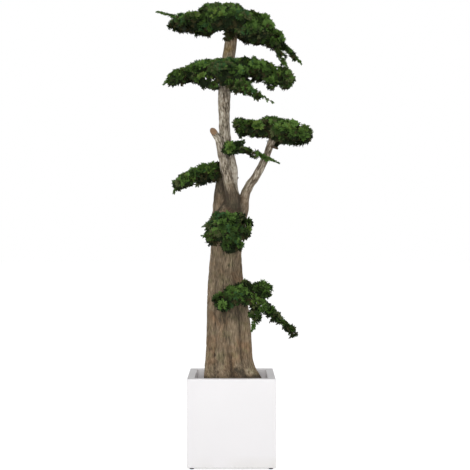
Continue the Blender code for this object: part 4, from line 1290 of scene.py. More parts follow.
def bend_round_knots(grain, bearing, height):
    """Bends the grain round each knot, and tells how far the knots stand out and how dark they are."""
    radius = np.hypot(grain[..., 0], grain[..., 1])
    standing = np.zeros_like(height)
    dark = np.zeros_like(height)
    for middle, knot_height, size, rise in KNOTS:
        around = np.radians(turned_from(bearing, middle)) * radius / size
        up = (height - knot_height) / (size * KNOT_TALLNESS)
        near = np.exp(-(around**2) - up**2)
        hollow = np.exp(-((around * HOLLOW_NARROWER) ** 2) - (up * HOLLOW_LOWER) ** 2)
        standing += rise * (near - HOLLOW_DEPTH * hollow)
        dark += HOLLOW_DARK * hollow - KNOT_LIGHT * near
        spin = around * size * KNOT_SPIN * near / np.maximum(radius, 1e-6)
        grain[..., 0], grain[..., 1] = spun(grain[..., 0], grain[..., 1], spin)
    return standing, dark


def make_trunk(finish):
    points, grain, bearing = trunk_grid()
    height = points[..., 2]
    # Under the crown the pale bark gives way again: painted shade of the crown
    pale = ease(height, PALE_FROM, PALE_TO) * (1 - CROWN_SHADE_LOSS * ease(height, *CROWN_SHADE_HEIGHTS))
    standing, dark = bend_round_knots(grain, bearing, height)
    swell, crack = rib_swell(bearing, height)
    standing += CRACK_SHARE * crack
    dark += np.clip(-swell - FURROW_FROM, 0, FURROW_SPAN) * FURROW_DARK - crack * CRACK_DARK
    foot = np.exp(-(height - GROUND) / FOOT_FADE)
    standing += foot * sum(rise * noise(points, size, seed) for rise, size, seed in FOOT_LUMPS)
    relief, tone = bark_relief(grain, pale)
    away = np.min([beyond_limb(points, stations) for stations in LIMBS.values()], axis=0)
    points = points + outward(points) * (relief + standing + blend_out(away))[..., None]
    points = kept_in_well(points)
    # Patches of lighter and darker bark, with painted shadow, painted shade and a painted highlight among
    # them
    patch_tone_and_light = in_patches(bearing, height, BARK_AND_LIGHT_PATCHES)
    # Painted contact shade on the foot just above the mulch
    contact_shade = np.exp(-(((height - GROUND) / CONTACT_SHADE_RISE) ** 6))
    tone = np.clip(tone - dark - FOOT_DARK * foot - CONTACT_SHADE_DARK * contact_shade + patch_tone_and_light - shade_between(away), 0, 1)
    lichen = np.clip(in_patches(bearing, height, LICHEN), 0, 1)
    # The tone kept as relief holds painted shade in creases, furrows, at the foot and in patches, and a
    # painted highlight
    values = {"relief": tone, "pale": pale, "lichen": lichen}
    hand_over(add_skin("trunk_bark", points, grain, values, [finish]), "bark", "trunk")


def sawn_off(points):
    """The rows of a limb with its end sawn on a slant, which its last rows are drawn to."""
    end = points[-1].mean(axis=0)
    along = unit(end - points[-CUT_ROWS].mean(axis=0))
    plane = unit(along + np.array(CUT_SLANT))
    foot = points[-CUT_ROWS]
    reach = ((end - foot) @ plane) / (along @ plane)
    cut = foot + along * reach[:, None] + (points[-1] - end - (foot - foot.mean(axis=0))) * 0.5
    cut -= along * (((cut - end) @ plane) / (along @ plane))[:, None]
    share = np.linspace(0, 1, CUT_ROWS)[:, None, None]
    points = points.copy()
    points[-CUT_ROWS:] = foot * (1 - share) + cut * share
    return points


def make_limb(name, number, finishes):
    points, grain = limb_grid(LIMBS[name])
    grain = grain + (GRAIN_APART * (number + 1), 0, 0)
    share = np.linspace(0, 1, len(points))[:, None] + 0 * points[..., 0]
    first, last = LIMB_PALENESS[name]
    pale = first + (last - first) * ease(share, *LIMB_PALING[name])
    relief, tone = bark_relief(grain, pale)
    others = [beyond_limb(points, route) for other, route in LIMBS.items() if other != name]
    away = np.min(others + [beyond_trunk(points)], axis=0)
    swell = blend_out(away)
    knob = KNOB_RISE * noise(points, KNOB_SIZE, 31 + number)
    radius = np.linalg.norm(points - points.mean(axis=1, keepdims=True), axis=-1)
    relief = relief * np.clip(radius / FULL_RADIUS, LEAST_RELIEF, 1)
    points = points + outward(points) * (relief + swell + knob)[..., None]
    sawn = len(finishes) > 1
    if sawn:
        points = sawn_off(points)
    shade = LIMB_SHADE[name] + TIP_SHADE[name] * ease(share, *TIP_SHADING)
    shade = shade + FOOT_SHADE[name] * (1 - ease(share, *FOOT_SHADING))
    tone = np.clip(tone - shade - shade_between(away), 0, 1)
    # The tone kept as relief holds the limb's painted shade at its foot, its tip and in creases
    values = {"relief": tone, "pale": pale, "lichen": np.zeros_like(pale)}
    hand_over(add_skin(f"{name}_bark", points, grain, values, finishes, cut=sawn), "pale_bark", name)


def end_painted(tree, geometry, finish, end):
    """Ends a tree of Geometry Nodes with real geometry in this finish."""
    real = wired(tree, "GeometryNodeRealizeInstances", {"Geometry": geometry})
    sources = {"Geometry": real.outputs["Geometry"], "Material": finish}
    painted = wired(tree, "GeometryNodeSetMaterial", sources)
    join(tree, painted.outputs["Geometry"], end["Geometry"])


def make_twig_tree():
    """Geometry Nodes that turn lines into tubes as thick as their points say."""
    takes = {"Geometry": "Geometry", "Sides": "Int", "Bark": "Material"}
    tree, start, end = new_group("tubes_along_twigs", "GeometryNodeTree", takes, {"Geometry": "Geometry"})
    line = wired(tree, "GeometryNodeMeshToCurve", {"Mesh": start["Geometry"]})
    ring = wired(tree, "GeometryNodeCurvePrimitiveCircle", {"Radius": 1.0, "Resolution": start["Sides"]})
    thick = wired(tree, "GeometryNodeInputNamedAttribute", {"Name": "thickness"}, data_type="FLOAT")
    sources = {"Curve": line.outputs["Curve"], "Profile Curve": ring.outputs["Curve"], "Fill Caps": True}
    tube = wired(tree, "GeometryNodeCurveToMesh", sources | {"Scale": thick.outputs["Attribute"]})
    end_painted(tree, tube.outputs["Mesh"], start["Bark"], end)
    return tree


def carry_out(piece, tree, inputs):
    """The piece as a tree of Geometry Nodes makes it from these named inputs."""
    change = piece.modifiers.new(tree.name, "NODES")
    change.node_group = tree
    for item in tree.interface.items_tree:
        if item.item_type == "SOCKET" and item.in_out == "INPUT" and item.name in inputs:
            change[item.identifier] = inputs[item.name]
    return settled(piece)


def add_tubes(name, lines, sides, tree, bark):
    """One piece of tubes along many lines, each a list of places with a radius as the fourth number."""
    points = np.concatenate(lines)
    edges, first = [], 0
    for line in lines:
        edges += [(i, i + 1) for i in range(first, first + len(line) - 1)]
        first += len(line)
    mesh = bpy.data.meshes.new(name)
    mesh.from_pydata(points[:, :3], edges, [])
    piece = put_in_scene(name, mesh)
    add_values(piece, "thickness", points[:, 3])
    carry_out(piece, tree, {"Sides": sides, "Bark": bark})
    piece.data.polygons.foreach_set("use_smooth", np.full(len(piece.data.polygons), sides > 3))
    return piece


def make_spurs(tree, bark):
    """Short dead twigs and knobs that stand out of the wood."""
    lines = []
    for foot, tip, radius in SPURS:
        foot, tip = np.array(foot), np.array(tip)
        reach = np.linalg.norm(tip - foot)
        side = unit(np.cross(tip - foot, (0.3, 0.2, 1.0)))
        line = []
        for share, girth in SPUR_GIRTHS:
            bend = side * reach * 0.10 * math.sin(share * 4.0)
            line.append((*(foot + (tip - foot) * share + bend), radius * girth))
        lines.append(np.array(line))
    hand_over(add_tubes("bare_spurs", lines, SPUR_SIDES, tree, bark), "pale_bark")


def lobe_axes(lobe):
    """The directions of a lobe's three half sizes, as the columns of a matrix."""
    fall = math.radians(lobe[2])
    return np.array([[math.cos(fall), 0, math.sin(fall)], [0, 1, 0], [-math.sin(fall), 0, math.cos(fall)]])


def within_lobe(lobe, points):
    """How far out each point lies in the lobe, where 1 is its skin."""
    local = (points - np.array(lobe[0])) @ lobe_axes(lobe)
    return np.linalg.norm(local / np.array(lobe[1]), axis=-1)


def level(mass, points):
    """How far each point lies outside the mass's lobes, roughly in metres."""
    return np.min([(within_lobe(lobe, points) - 1) * min(lobe[1]) for lobe in MASSES[mass]["lobes"]], axis=0)


def in_own_space(mass, points):
    own = level(mass, points) + CELL_MARGIN
    return np.all([own < level(other, points) for other in MASSES if other != mass], axis=0)


def in_gap(points):
    """How far each point lies outside the nearest sky gap, on a line of sight from the front."""
    eye = np.array(CAMERA_PLACE)
    sight = (points - eye) * (eye[1] / (eye[1] - points[:, 1:2])) + eye
    away = [np.hypot(sight[:, 0] - x, sight[:, 2] - z) - radius for x, z, radius in SKY_GAPS]
    return np.min(away, axis=0)


def spaced(points, spacing):
    """The numbers of points that keep this far from all that were taken before them."""
    kept = []
    for number, point in enumerate(points):
        if not kept or np.min(np.linalg.norm(points[kept] - point, axis=1)) > spacing:
            kept.append(number)
    return kept


def skin_sites(mass, share, spacing, chance):
    """Places spread evenly over the lobes at this share of their size, the ways out and how thin it is."""
    places, ways, thins = [], [], []
    for lobe in MASSES[mass]["lobes"]:
        half = np.array(lobe[1]) * share
        area = half[0] * half[1] + half[0] * half[2] + half[1] * half[2]
        count = int(TRIES * area / spacing**2) + LEAST_TRIES
        way = unit(chance.normal(size=(count, 3)))
        stretch = np.linalg.norm(way / half, axis=1)
        way = way[chance.random(count) < stretch / stretch.max()]
        out = unit((way / half) @ lobe_axes(lobe).T)
        place = np.array(lobe[0]) + (way * half) @ lobe_axes(lobe).T
        free = np.ones(len(place), bool)
        for other in MASSES[mass]["lobes"]:
            if other is not lobe:
                free &= within_lobe(other, place) > HIDDEN_SHARE * share
        places.append(place[free])
        ways.append(out[free])
        thins.append(np.full(free.sum(), min(lobe[1])))
    places, ways, thins = np.concatenate(places), np.concatenate(ways), np.concatenate(thins)
    own = in_own_space(mass, places)
    places, ways, thins = places[own], ways[own], thins[own]
    order = chance.permutation(len(places))
    places, ways, thins = places[order], ways[order], thins[order]
    kept = spaced(places, spacing)
    return places[kept], ways[kept], thins[kept]


def leaflet(foot, turn, length, width, chance):
    """One toothed leaflet of eight faces, folded along its rib."""
    edge = (LEAFLET_SIDE, LEAFLET_NOTCH, LEAFLET_SHOULDER)
    outline = [(0.0, 0.0), *edge, (1.0, 0.0), *((u, -v) for u, v in reversed(edge))]
    jitter = chance.uniform(-CORNERS_ASTRAY, CORNERS_ASTRAY, size=(8, 2))
    jitter[0] = 0
    points = np.zeros((9, 3))
    points[:8, :2] = (np.array(outline) + jitter) * (length, width)
    points[8] = (LEAFLET_RIB[0] * length, 0, LEAFLET_RIB[1] * width * 2)
    angle = math.radians(turn + chance.uniform(-LEAFLETS_TURNED, LEAFLETS_TURNED))
    turned = [[math.cos(angle), math.sin(angle), 0], [-math.sin(angle), math.cos(angle), 0], [0, 0, 1]]
    points = points @ np.array(turned)
    points[:, 0] += foot
    points[:, 2] += LEAFLETS_RAISED * chance.uniform(-1, 1) + np.abs(points[:, 1]) * SPRAY_CUP
    return points, [((i + 1) % 8, i, 8) for i in range(8)]


def spray_kind(number):
    """Points and faces of one spray a unit long: a thin stalk, leaflets on both sides and a drooping tip."""
    chance = np.random.default_rng(40 + number)
    points, faces = [], []
    for foot, turn, length, width in LEAFLETS:
        share = chance.uniform(*LEAFLET_VARIETY)
        new, sides = leaflet(foot, turn, length * share, width, chance)
        faces += [tuple(i + len(points) for i in side) for side in sides]
        points += new.tolist()
    first = len(points)
    for x, (y, z) in itertools.product((0.0, STALK_LENGTH), STALK_CORNERS):
        points.append((x, y * STALK_WIDTH, (z - STALK_SINK) * STALK_WIDTH))
    for i in range(3):
        j = (i + 1) % 3
        faces += [(first + i, first + j, first + 3 + j), (first + i, first + 3 + j, first + 3 + i)]
    points = np.array(points)
    points[:, 2] -= SPRAY_DROOP * points[:, 0] ** 2
    return points, np.array(faces)


def square_pair(axes):
    """Two directions square to each axis and to each other."""
    helper = np.where(np.abs(axes[:, 2:]) < 0.9, (0.0, 0.0, 1.0), (1.0, 0.0, 0.0))
    first = unit(np.cross(axes, helper))
    return first, np.cross(axes, first)


def either_way(most, count, chance):
    """Random numbers from minus the most to the most."""
    return chance.uniform(-most, most, count)


def rosettes(sites, axes, counts, length, thin, chance):
    """Sprays fanned round each tuft's axis: roots, directions, faces and lengths, and each one's tuft."""
    length = np.minimum(length, THIN_SPRAY[0] + THIN_SPRAY[1] * thin)
    tuft = np.repeat(np.arange(len(sites)), counts)
    turn_number = np.concatenate([np.arange(count) for count in counts])
    share = (turn_number + 0.5) / np.repeat(counts, counts)
    start = chance.uniform(0, 2 * np.pi, len(sites))
    turn = start[tuft] + turn_number * TUFT_TURN + either_way(TURN_ASTRAY, len(tuft), chance)
    tilt = LEAST_TILT + (GREATEST_TILT - LEAST_TILT) * np.sqrt(share)
    tilt = tilt + either_way(TILT_ASTRAY, len(tuft), chance)
    first, second = square_pair(axes)
    spoke = first[tuft] * np.cos(turn)[:, None] + second[tuft] * np.sin(turn)[:, None]
    axis = axes[tuft]
    along = unit(axis * np.cos(tilt)[:, None] + spoke * np.sin(tilt)[:, None])
    face = axis * np.sin(tilt)[:, None] - spoke * np.cos(tilt)[:, None]
    roll = chance.normal(0, ROLL_ASTRAY, len(tuft))[:, None]
    face = unit(face * np.cos(roll) + np.cross(along, face) * np.sin(roll))
    sizes = length[tuft] * chance.uniform(*SPRAY_SHARES, len(tuft))
    sizes = sizes * (INNERMOST + OUTER_LONGER * share)
    roots = sites[tuft] - axis * SPRAY_SINK + spoke * SPRAY_RING
    return roots, along, face, sizes, tuft


def tail_sprays(mass, chance):
    """Sprays along every trailing twig, shorter towards its tip: roots, directions, faces and lengths."""
    sprays = []
    onward, sideways, spread = TAIL_LEANS
    longest, shortest = TAIL_LENGTHS
    for tail in MASSES[mass]["tails"]:
        path = tail_path(mass, tail)[:, :3]
        gone = distance_along(path)
        for number, step in enumerate(np.arange(0.0, gone[-1] + TAIL_STEP / 2, TAIL_STEP)):
            share = min(step / gone[-1], 1.0)
            root, ahead, behind = (at_distance(path, gone, step + by) for by in (0, TAIL_LOOK, -TAIL_LOOK))
            along = unit(ahead - behind)
            flat = unit(np.cross(along, (0.0, 0.0, 1.0)))
            lift = np.cross(flat, along)
            for side in (1, -1):
                lean = chance.uniform(-spread, spread, 3)
                near = sideways * (1 - TAIL_CLOSING * share)
                tipped = TAIL_TIPS[(number + (side > 0)) % 2] * near
                way = unit(along * onward + flat * side * near * TAIL_FLAT + lift * tipped + lean)
                across = flat * chance.uniform(-TAIL_TURN, TAIL_TURN)
                face = unit(lift + across + either_way(TAIL_ASTRAY, 3, chance))
                size = (longest * (1 - share) + shortest * share) * chance.uniform(*TAIL_VARIETY)
                sprays.append((root, way, face, size))
        sprays.append((path[-1] - along * TAIL_SET_BACK, along, lift, shortest))
    return [np.array(found) for found in zip(*sprays)]


def deal_colours(sites, out, start, tuft, along, brown_and_shade, chance):
    """A leaf finish for each spray, with light and shade painted in: lighter on top, darker in hollows and
    underneath, brown within.
    """
    clump = noise(sites, CLUMP_SIZE, 51)
    hue = noise(sites, HUE_SIZE, 52) + chance.normal(0, HUES_DIFFER, len(sites))
    tone = LIGHT_OF_CLUMP * clump + LIGHT_OF_TUFT * out[:, 2] + chance.normal(0, TUFTS_DIFFER, len(sites))
    up = along[:, 2] + FRONT_SHARE * -along[:, 1]
    light = tone[tuft] + LIGHT_OF_SPRAY * up + chance.normal(0, SPRAYS_DIFFER, len(tuft)) - LIGHT_LOSS
    kinds = np.select([light < step for step in LIGHT_STEPS], [DEEP_SHADOW_GREEN, SHADED_GREEN, HALF_LIT_GREEN], LIT_FRESH_GREEN)
    some = chance.random(len(tuft))
    least_hue, least_light, most = YELLOW_FROM
    kinds = np.where((hue[tuft] > least_hue) & (light > least_light) & (some < most), YELLOW, kinds)
    most_hue, least_light, most = BLUE_FROM
    kinds = np.where((hue[tuft] < most_hue) & (light > least_light) & (some < most), BLUE, kinds)
    least_worn, least_light, most_light, least = OLIVE_FROM
    worn = noise(sites, WORN_SIZE, 53)[tuft] > least_worn
    kinds = np.where(worn & (light > least_light) & (light < most_light) & (some > least), OLIVE, kinds)
    near = np.linalg.norm(sites - start, axis=1)
    at_stem = BROWN_AT_STEM * np.exp(-((near / BROWN_REACH) ** 2))
    # Underneath, brown sprays are painted shade; near the stem and anywhere else they are dead sprays
    browned_and_shaded = brown_and_shade * (ease(-out[:, 2], *UNDERSIDE_SHADE_SLOPES) + at_stem) + BROWN_ANYWHERE
    return np.where((some > 1 - browned_and_shaded[tuft]) & (light < BROWN_UNTIL), DEAD_AND_SHADE_BROWN, kinds)


def grow_twigs(mass, tufts, chance):
    """Lines of twigs: each fork and each tuft joins the nearest wood that leads back to the stem."""
    facts = MASSES[mass]
    start, elbow, radius = facts["stem"]
    hub = facts["lobes"][0][0]
    trunk_way = smooth([start, elbow, hub], 5)
    places = list(trunk_way)
    parents = [max(i - 1, 0) for i in range(len(trunk_way))]
    way = list(distance_along(trunk_way))
    forks = np.concatenate([skin_sites(mass, share, FORK_SPACING, chance)[0] for share in FORK_SHARES])
    forks = forks[beyond_wood(forks) > FORK_CLEARANCE]
    everything = np.concatenate([forks, tufts])
    is_tuft = np.arange(len(everything)) >= len(forks)
    order = np.argsort(np.linalg.norm(everything - np.array(start), axis=1) + TUFT_LATER * is_tuft)
    cost = [0.0 if i else STEM_FOOT_COST for i in range(len(places))]
    for number in order:
        apart = np.linalg.norm(np.array(places) - everything[number], axis=1)
        parent = int(np.argmin(apart + WAY_COST * np.array(way) + np.array(cost)))
        places.append(everything[number])
        parents.append(parent)
        way.append(way[parent] + apart[parent])
        cost.append(TUFT_FORK_COST if is_tuft[number] else 0.0)
    load = np.zeros(len(places))
    for number in range(len(places) - 1, 0, -1):
        own = max(load[number], LEAF_TWIG**FORK_POWER)
        load[number] = own
        load[parents[number]] += own
    thick = np.minimum(load ** (1 / FORK_POWER), radius)
    lines = [np.column_stack([trunk_way, radius * np.linspace(*STEM_GIRTHS, len(trunk_way))])]
    for number in range(len(trunk_way), len(places)):
        foot, tip = places[parents[number]], places[number]
        reach = np.linalg.norm(tip - foot)
        bend = chance.normal(0, TWIG_WANDER, 3) * reach * 0.5 - (0, 0, TWIG_SAG * reach)
        wide, even, thin = (thick[number] * share for share in TWIG_GIRTHS)
        base = min(wide, max(thick[parents[number]], thick[number]))
        lines.append(np.array([(*foot, base), (*((foot + tip) / 2 + bend), even), (*tip, thin)]))
    return lines


def tail_path(mass, tail):
    """A trailing twig from its nearest lobe to its tip, with its radius."""
    near = min(MASSES[mass]["lobes"], key=lambda lobe: np.linalg.norm(np.array(lobe[0]) - tail[0]))
    edge = np.array(near[0]) * TAIL_ROOT + np.array(tail[0]) * (1 - TAIL_ROOT)
    return smooth([(*point, TAIL_RADIUS * girth) for point, girth in zip((edge, *tail), TAIL_GIRTHS)], 5)


def stays_clear(roots, along, sizes):
    """Which sprays keep off the wood and out of the sky gaps."""
    clear = np.ones(len(roots), bool)
    for share in CLEAR_SHARES:
        place = roots + along * (sizes * share)[:, None]
        clear &= (beyond_wood(place) > WOOD_CLEARANCE) & (in_gap(place) > 0)
    return clear


def skin_sprays(mass, brown_and_shade, chance):
    """Tufts over a mass's lobes: what every spray of them is, and where their twigs end."""
    start = np.array(MASSES[mass]["stem"][0])
    sites, out, thin = skin_sites(mass, SKIN_SHARE, TUFT_SPACING, chance)
    clump = noise(sites, CLUMP_SIZE, 51)
    rise = CLUMP_RISE * clump + chance.normal(0, TUFT_RISE, len(sites)) - TUFT_DEPTH
    sites = sites + out * rise[:, None]
    open_air = beyond_wood(sites) > TUFT_CLEARANCE
    sites, out, thin = sites[open_air], out[open_air], thin[open_air]
    square, sweep, lift, astray = TUFT_LEANS
    raised = np.array((0, 0, 1.0)) * lift * (LEAST_LIFT + np.clip(out[:, 2:], 0, 1))
    stray = chance.normal(0, astray, (len(sites), 3))
    axes = unit(out * square + unit(sites - start) * sweep + raised + stray)
    counts = np.select([out[:, 2] > facing for facing in TUFT_FACINGS], TUFT_SPRAYS[:2], TUFT_SPRAYS[2])
    roots, along, face, sizes, tuft = rosettes(sites, axes, counts, SPRAY_LENGTH, thin, chance)
    shade = deal_colours(sites, out, start, tuft, along, brown_and_shade, chance)
    return (roots, along, face, sizes, shade), sites - axes * TWIG_SINK


def inner_sprays(mass, brown_and_shade, chance):
    """Tufts in the painted deep shadow green or brown that close the middle of the lobes, where there is room
    for any.
    """
    start = np.array(MASSES[mass]["stem"][0])
    sites, out, thin = skin_sites(mass, INNER_SHARE, INNER_SPACING, chance)
    if not len(sites):
        return []
    many = np.full(len(sites), INNER_SPRAYS)
    *sprays, tuft = rosettes(sites, unit(out + unit(sites - start)), many, INNER_LENGTH, thin, chance)
    return [(*sprays, np.where(chance.random(len(tuft)) < BROWN_INSIDE * brown_and_shade, DEAD_AND_SHADE_BROWN, DEEP_SHADOW_GREEN))]


def trailing_sprays(mass, chance):
    """Fresh and mid green sprays along the trailing twigs, if the mass has any."""
    if not MASSES[mass]["tails"]:
        return []
    sprays = tail_sprays(mass, chance)
    return [(*sprays, np.where(chance.random(len(sprays[0])) < FRESH_TAILS, LIT_FRESH_GREEN, HALF_LIT_GREEN))]


def lay_sprays(kinds, roots, along, face, sizes, shade):
    """Points, faces and finishes of all sprays, which take turns in their kind."""
    across = unit(np.cross(face, along))
    face = np.cross(along, across)
    which = np.arange(len(roots)) % SPRAY_KINDS
    points, faces, finishes = [], [], []
    first = 0
    for kind, (shape, sides) in enumerate(kinds):
        own = which == kind
        place = shape[None, :, :1] * along[own][:, None] + shape[None, :, 1:2] * across[own][:, None]
        place = place + shape[None, :, 2:] * face[own][:, None]
        place = roots[own][:, None] + place * sizes[own][:, None, None]
        points.append(place.reshape(-1, 3))
        steps = first + np.arange(own.sum()) * len(shape)
        faces.append((sides[None] + steps[:, None, None]).reshape(-1, 3))
        finishes.append(np.repeat(shade[own], len(sides)))
        first += own.sum() * len(shape)
    return np.concatenate(points), np.concatenate(faces), np.concatenate(finishes)


def make_mass(mass, kinds, leaf_finishes, twig_tree, twig_bark):
    facts = MASSES[mass]
    chance = np.random.default_rng(100 + list(MASSES).index(mass))
    brown_and_shade = facts.get("brown_and_shade", BROWN_AND_SHADE)
    skin, twig_ends = skin_sprays(mass, brown_and_shade, chance)
    batches = [skin] + inner_sprays(mass, brown_and_shade, chance) + trailing_sprays(mass, chance)
    roots, along, face, sizes, shade = (np.concatenate(found) for found in zip(*batches))
    for shorter in SHORTENINGS:
        sizes = np.where(stays_clear(roots, along, sizes), sizes, sizes * shorter)
    clear = stays_clear(roots, along, sizes)
    sprays = (found[clear] for found in (roots, along, face, sizes, shade))
    points, faces, which = lay_sprays(kinds, *sprays)
    hand_over(add_piece(f"{mass}_sprays", points, faces, leaf_finishes, which), "juniper_green", mass)
    lines = grow_twigs(mass, twig_ends, chance)
    lines += [tail_path(mass, tail) for tail in facts["tails"]]
    hand_over(add_tubes(f"{mass}_twigs", lines, TWIG_SIDES, twig_tree, twig_bark), "juniper_green", mass)


def block(side, low, high):
    """A square block standing on its middle, as a bmesh."""
    work = bmesh.new()
    bmesh.ops.create_cube(work, size=1.0)
    bmesh.ops.scale(work, vec=(side, side, high - low), verts=work.verts)
    bmesh.ops.translate(work, vec=(0, 0, (low + high) / 2), verts=work.verts)
    return work


def make_planter(finish):
    """The moulded shell: a flat rim round a deep well, every edge softly rounded."""
    work = block(POT_SIDE, POT_BASE, RIM_HEIGHT)
    top = max(work.faces, key=lambda f: f.calc_center_median().z)
    bmesh.ops.inset_region(work, faces=[top], thickness=RIM_WIDTH, use_even_offset=True)
    walls = bmesh.ops.extrude_discrete_faces(work, faces=[top])["faces"]
    bmesh.ops.translate(work, vec=(0, 0, POT_FLOOR - POT_HEIGHT), verts=walls[0].verts)
    bmesh.ops.recalc_face_normals(work, faces=work.faces)
    mesh = bpy.data.meshes.new("planter_shell")
    work.to_mesh(mesh)
    work.free()
    mesh.materials.append(finish)
    shell = put_in_scene("planter_shell", mesh)
    bevel = shell.modifiers.new("rounded_edges", "BEVEL")
    bevel.width = POT_EDGE
    bevel.segments = 4
    bevel.limit_method = "ANGLE"
    mesh.shade_smooth()
    even = shell.modifiers.new("flat_sides", "WEIGHTED_NORMAL")
    even.weight = 100
    settled(shell)
    hand_over(shell, "pot_white", "pot")


def make_feet(finish):
    """Four turned rubber feet with a chamfered tread and a shallow ring."""
    radius, height = (np.array(FOOT_OUTLINE) * (FOOT_RADIUS, FOOT_HEIGHT)).T[..., None]
    turn = np.linspace(0, 2 * np.pi, FOOT_STEPS, endpoint=False)
    rows = np.stack([radius * np.cos(turn), radius * np.sin(turn), height + 0 * turn], axis=-1)
    foot = np.concatenate([rows[1:-1].reshape(-1, 3), rows[:1, 0], rows[-1:, 0]])
    grid = np.arange(len(foot) - 2).reshape(-1, FOOT_STEPS)
    sides = closed_faces(grid, len(foot) - 2, len(foot) - 1)
    reach = POT_SIDE / 2 - FOOT_INSET
    points, faces = [], []
    for x, y in itertools.product((-reach, reach), repeat=2):
        faces += [tuple(number + len(points) for number in side) for side in sides]
        points += (foot + (x, y, 0)).tolist()
    feet = add_piece("planter_feet", points, faces, [finish], rounded=True)
    feet.data.set_sharp_from_angle(angle=math.radians(35))
    names = [f"pot_foot_{end}_{side}" for end in ("front", "back") for side in ("left", "right")]
    hand_over(feet, "foot_rubber", *names)


def make_bed(finish):
    """The top of the filling: an uneven bed, heaped a little towards the trunk."""
    half = CAVITY / 2 - GAP
    line = np.linspace(-half, half, BED_STEPS)
    x, y = np.meshgrid(line, line)
    flat = np.stack([x, y, np.zeros_like(x)], axis=-1)
    near = np.exp(-((np.hypot(x, y) / BED_HEAP_REACH) ** 6))
    high = FILL_TOP - BED_SINK + BED_LUMP * noise(flat, BED_LUMP_SIZE, 61)
    high = high + BED_GRAIN * noise(flat, BED_GRAIN_SIZE, 62) + BED_HEAP * near
    top = np.stack([x, y, high], axis=-1)
    under = np.stack([x, y, np.full_like(x, FILL_TOP - BED_DEPTH)], axis=-1)
    points = np.concatenate([top.reshape(-1, 3), under.reshape(-1, 3)])
    count = BED_STEPS * BED_STEPS
    grid = np.arange(count).reshape(BED_STEPS, BED_STEPS)
    quads = np.stack([grid[:-1, :-1], grid[:-1, 1:], grid[1:, 1:], grid[1:, :-1]], axis=-1).reshape(-1, 4)
    edge = np.concatenate([grid[0, :-1], grid[:-1, -1], grid[-1, :0:-1], grid[:0:-1, 0]])
    after = np.roll(edge, -1)
    sides = np.stack([edge, edge + count, after + count, after], axis=-1)
    faces = np.concatenate([quads, quads[:, ::-1] + count, sides])
    bed = add_piece("mulch_bed", points, faces, [finish], rounded=True)
    bed.data.set_sharp_from_angle(angle=math.radians(50))
    hand_over(bed, "mulch", "potting_fill")
    return bed


def make_chip_shape(number):
    """One splintered chip of bark, rough and flat."""
    chance = np.random.default_rng(70 + number)
    work = bmesh.new()
    bmesh.ops.create_icosphere(work, subdivisions=1, radius=0.5)
    for vert in work.verts:
        for axis, (size, shares) in enumerate(zip(CHIP_SIZE, CHIP_VARIETY)):
            vert.co[axis] *= size * chance.uniform(*shares)
    mesh = bpy.data.meshes.new("chip_shape")
    work.to_mesh(mesh)
    work.free()
    return bpy.data.objects.new("chip_shape", mesh)


def make_scatter_tree():
    """Geometry Nodes that scatter one shape over a bed's upward faces, clear of the trunk and the walls."""
    takes = {"Geometry": "Geometry", "Shape": "Object", "Density": "Float", "Clear Radius": "Float"}
    takes |= {"Reach": "Float", "Least Scale": "Float", "Greatest Scale": "Float", "Seed": "Int"}
    takes |= {"Finish": "Material"}
    tree, start, end = new_group("chips_over_bed", "GeometryNodeTree", takes, {"Geometry": "Geometry"})
    seed = {"Seed": start["Seed"]}
    normal = wired(tree, "ShaderNodeSeparateXYZ", {0: tree.nodes.new("GeometryNodeInputNormal").outputs[0]})
    upward = maths(tree, "GREATER_THAN", normal.outputs["Z"])
    sources = {"Mesh": start["Geometry"], "Selection": upward, "Density": start["Density"]}
    spread = wired(tree, "GeometryNodeDistributePointsOnFaces", sources | seed)
    here = tree.nodes.new("GeometryNodeInputPosition").outputs[0]
    flat = vector_maths(tree, "MULTIPLY", here, (1.0, 1.0, 0.0))
    far = wired(tree, "ShaderNodeVectorMath", {0: flat}, operation="LENGTH").outputs["Value"]
    outside = maths(tree, "GREATER_THAN", far, start["Clear Radius"])
    aside = wired(tree, "ShaderNodeSeparateXYZ", {0: vector_maths(tree, "ABSOLUTE", flat)})
    furthest = maths(tree, "MAXIMUM", aside.outputs["X"], aside.outputs["Y"])
    inside = maths(tree, "LESS_THAN", furthest, start["Reach"])
    shape = wired(tree, "GeometryNodeObjectInfo", {"Object": start["Shape"]})
    turns = dict(enumerate(CHIP_TURNS))
    turn = wired(tree, "FunctionNodeRandomValue", turns | seed, data_type="FLOAT_VECTOR")
    scales = {2: start["Least Scale"], 3: start["Greatest Scale"]}
    size = wired(tree, "FunctionNodeRandomValue", scales | seed, data_type="FLOAT")
    sources = {
        "Points": spread.outputs["Points"],
        "Selection": maths(tree, "MULTIPLY", outside, inside),
        "Instance": shape.outputs["Geometry"],
        "Rotation": turn.outputs[0],
        "Scale": size.outputs[1],
    }
    copies = wired(tree, "GeometryNodeInstanceOnPoints", sources)
    end_painted(tree, copies.outputs["Instances"], start["Finish"], end)
    return tree


def make_chips(name, number, bed, tree, finish):
    """One colour of chips, scattered over the bed."""
    shape = make_chip_shape(number)
    inputs = {
        "Shape": shape,
        "Density": float(CHIP_DENSITY),
        "Clear Radius": CHIP_CLEAR,
        "Reach": CHIP_REACH,
        "Least Scale": CHIP_SCALES[0],
        "Greatest Scale": CHIP_SCALES[1],
        "Seed": 5 + number,
        "Finish": finish,
    }
    chips = carry_out(put_in_scene(name, bed.data.copy()), tree, inputs)
    bpy.data.objects.remove(shape)
    hand_over(chips, "mulch")


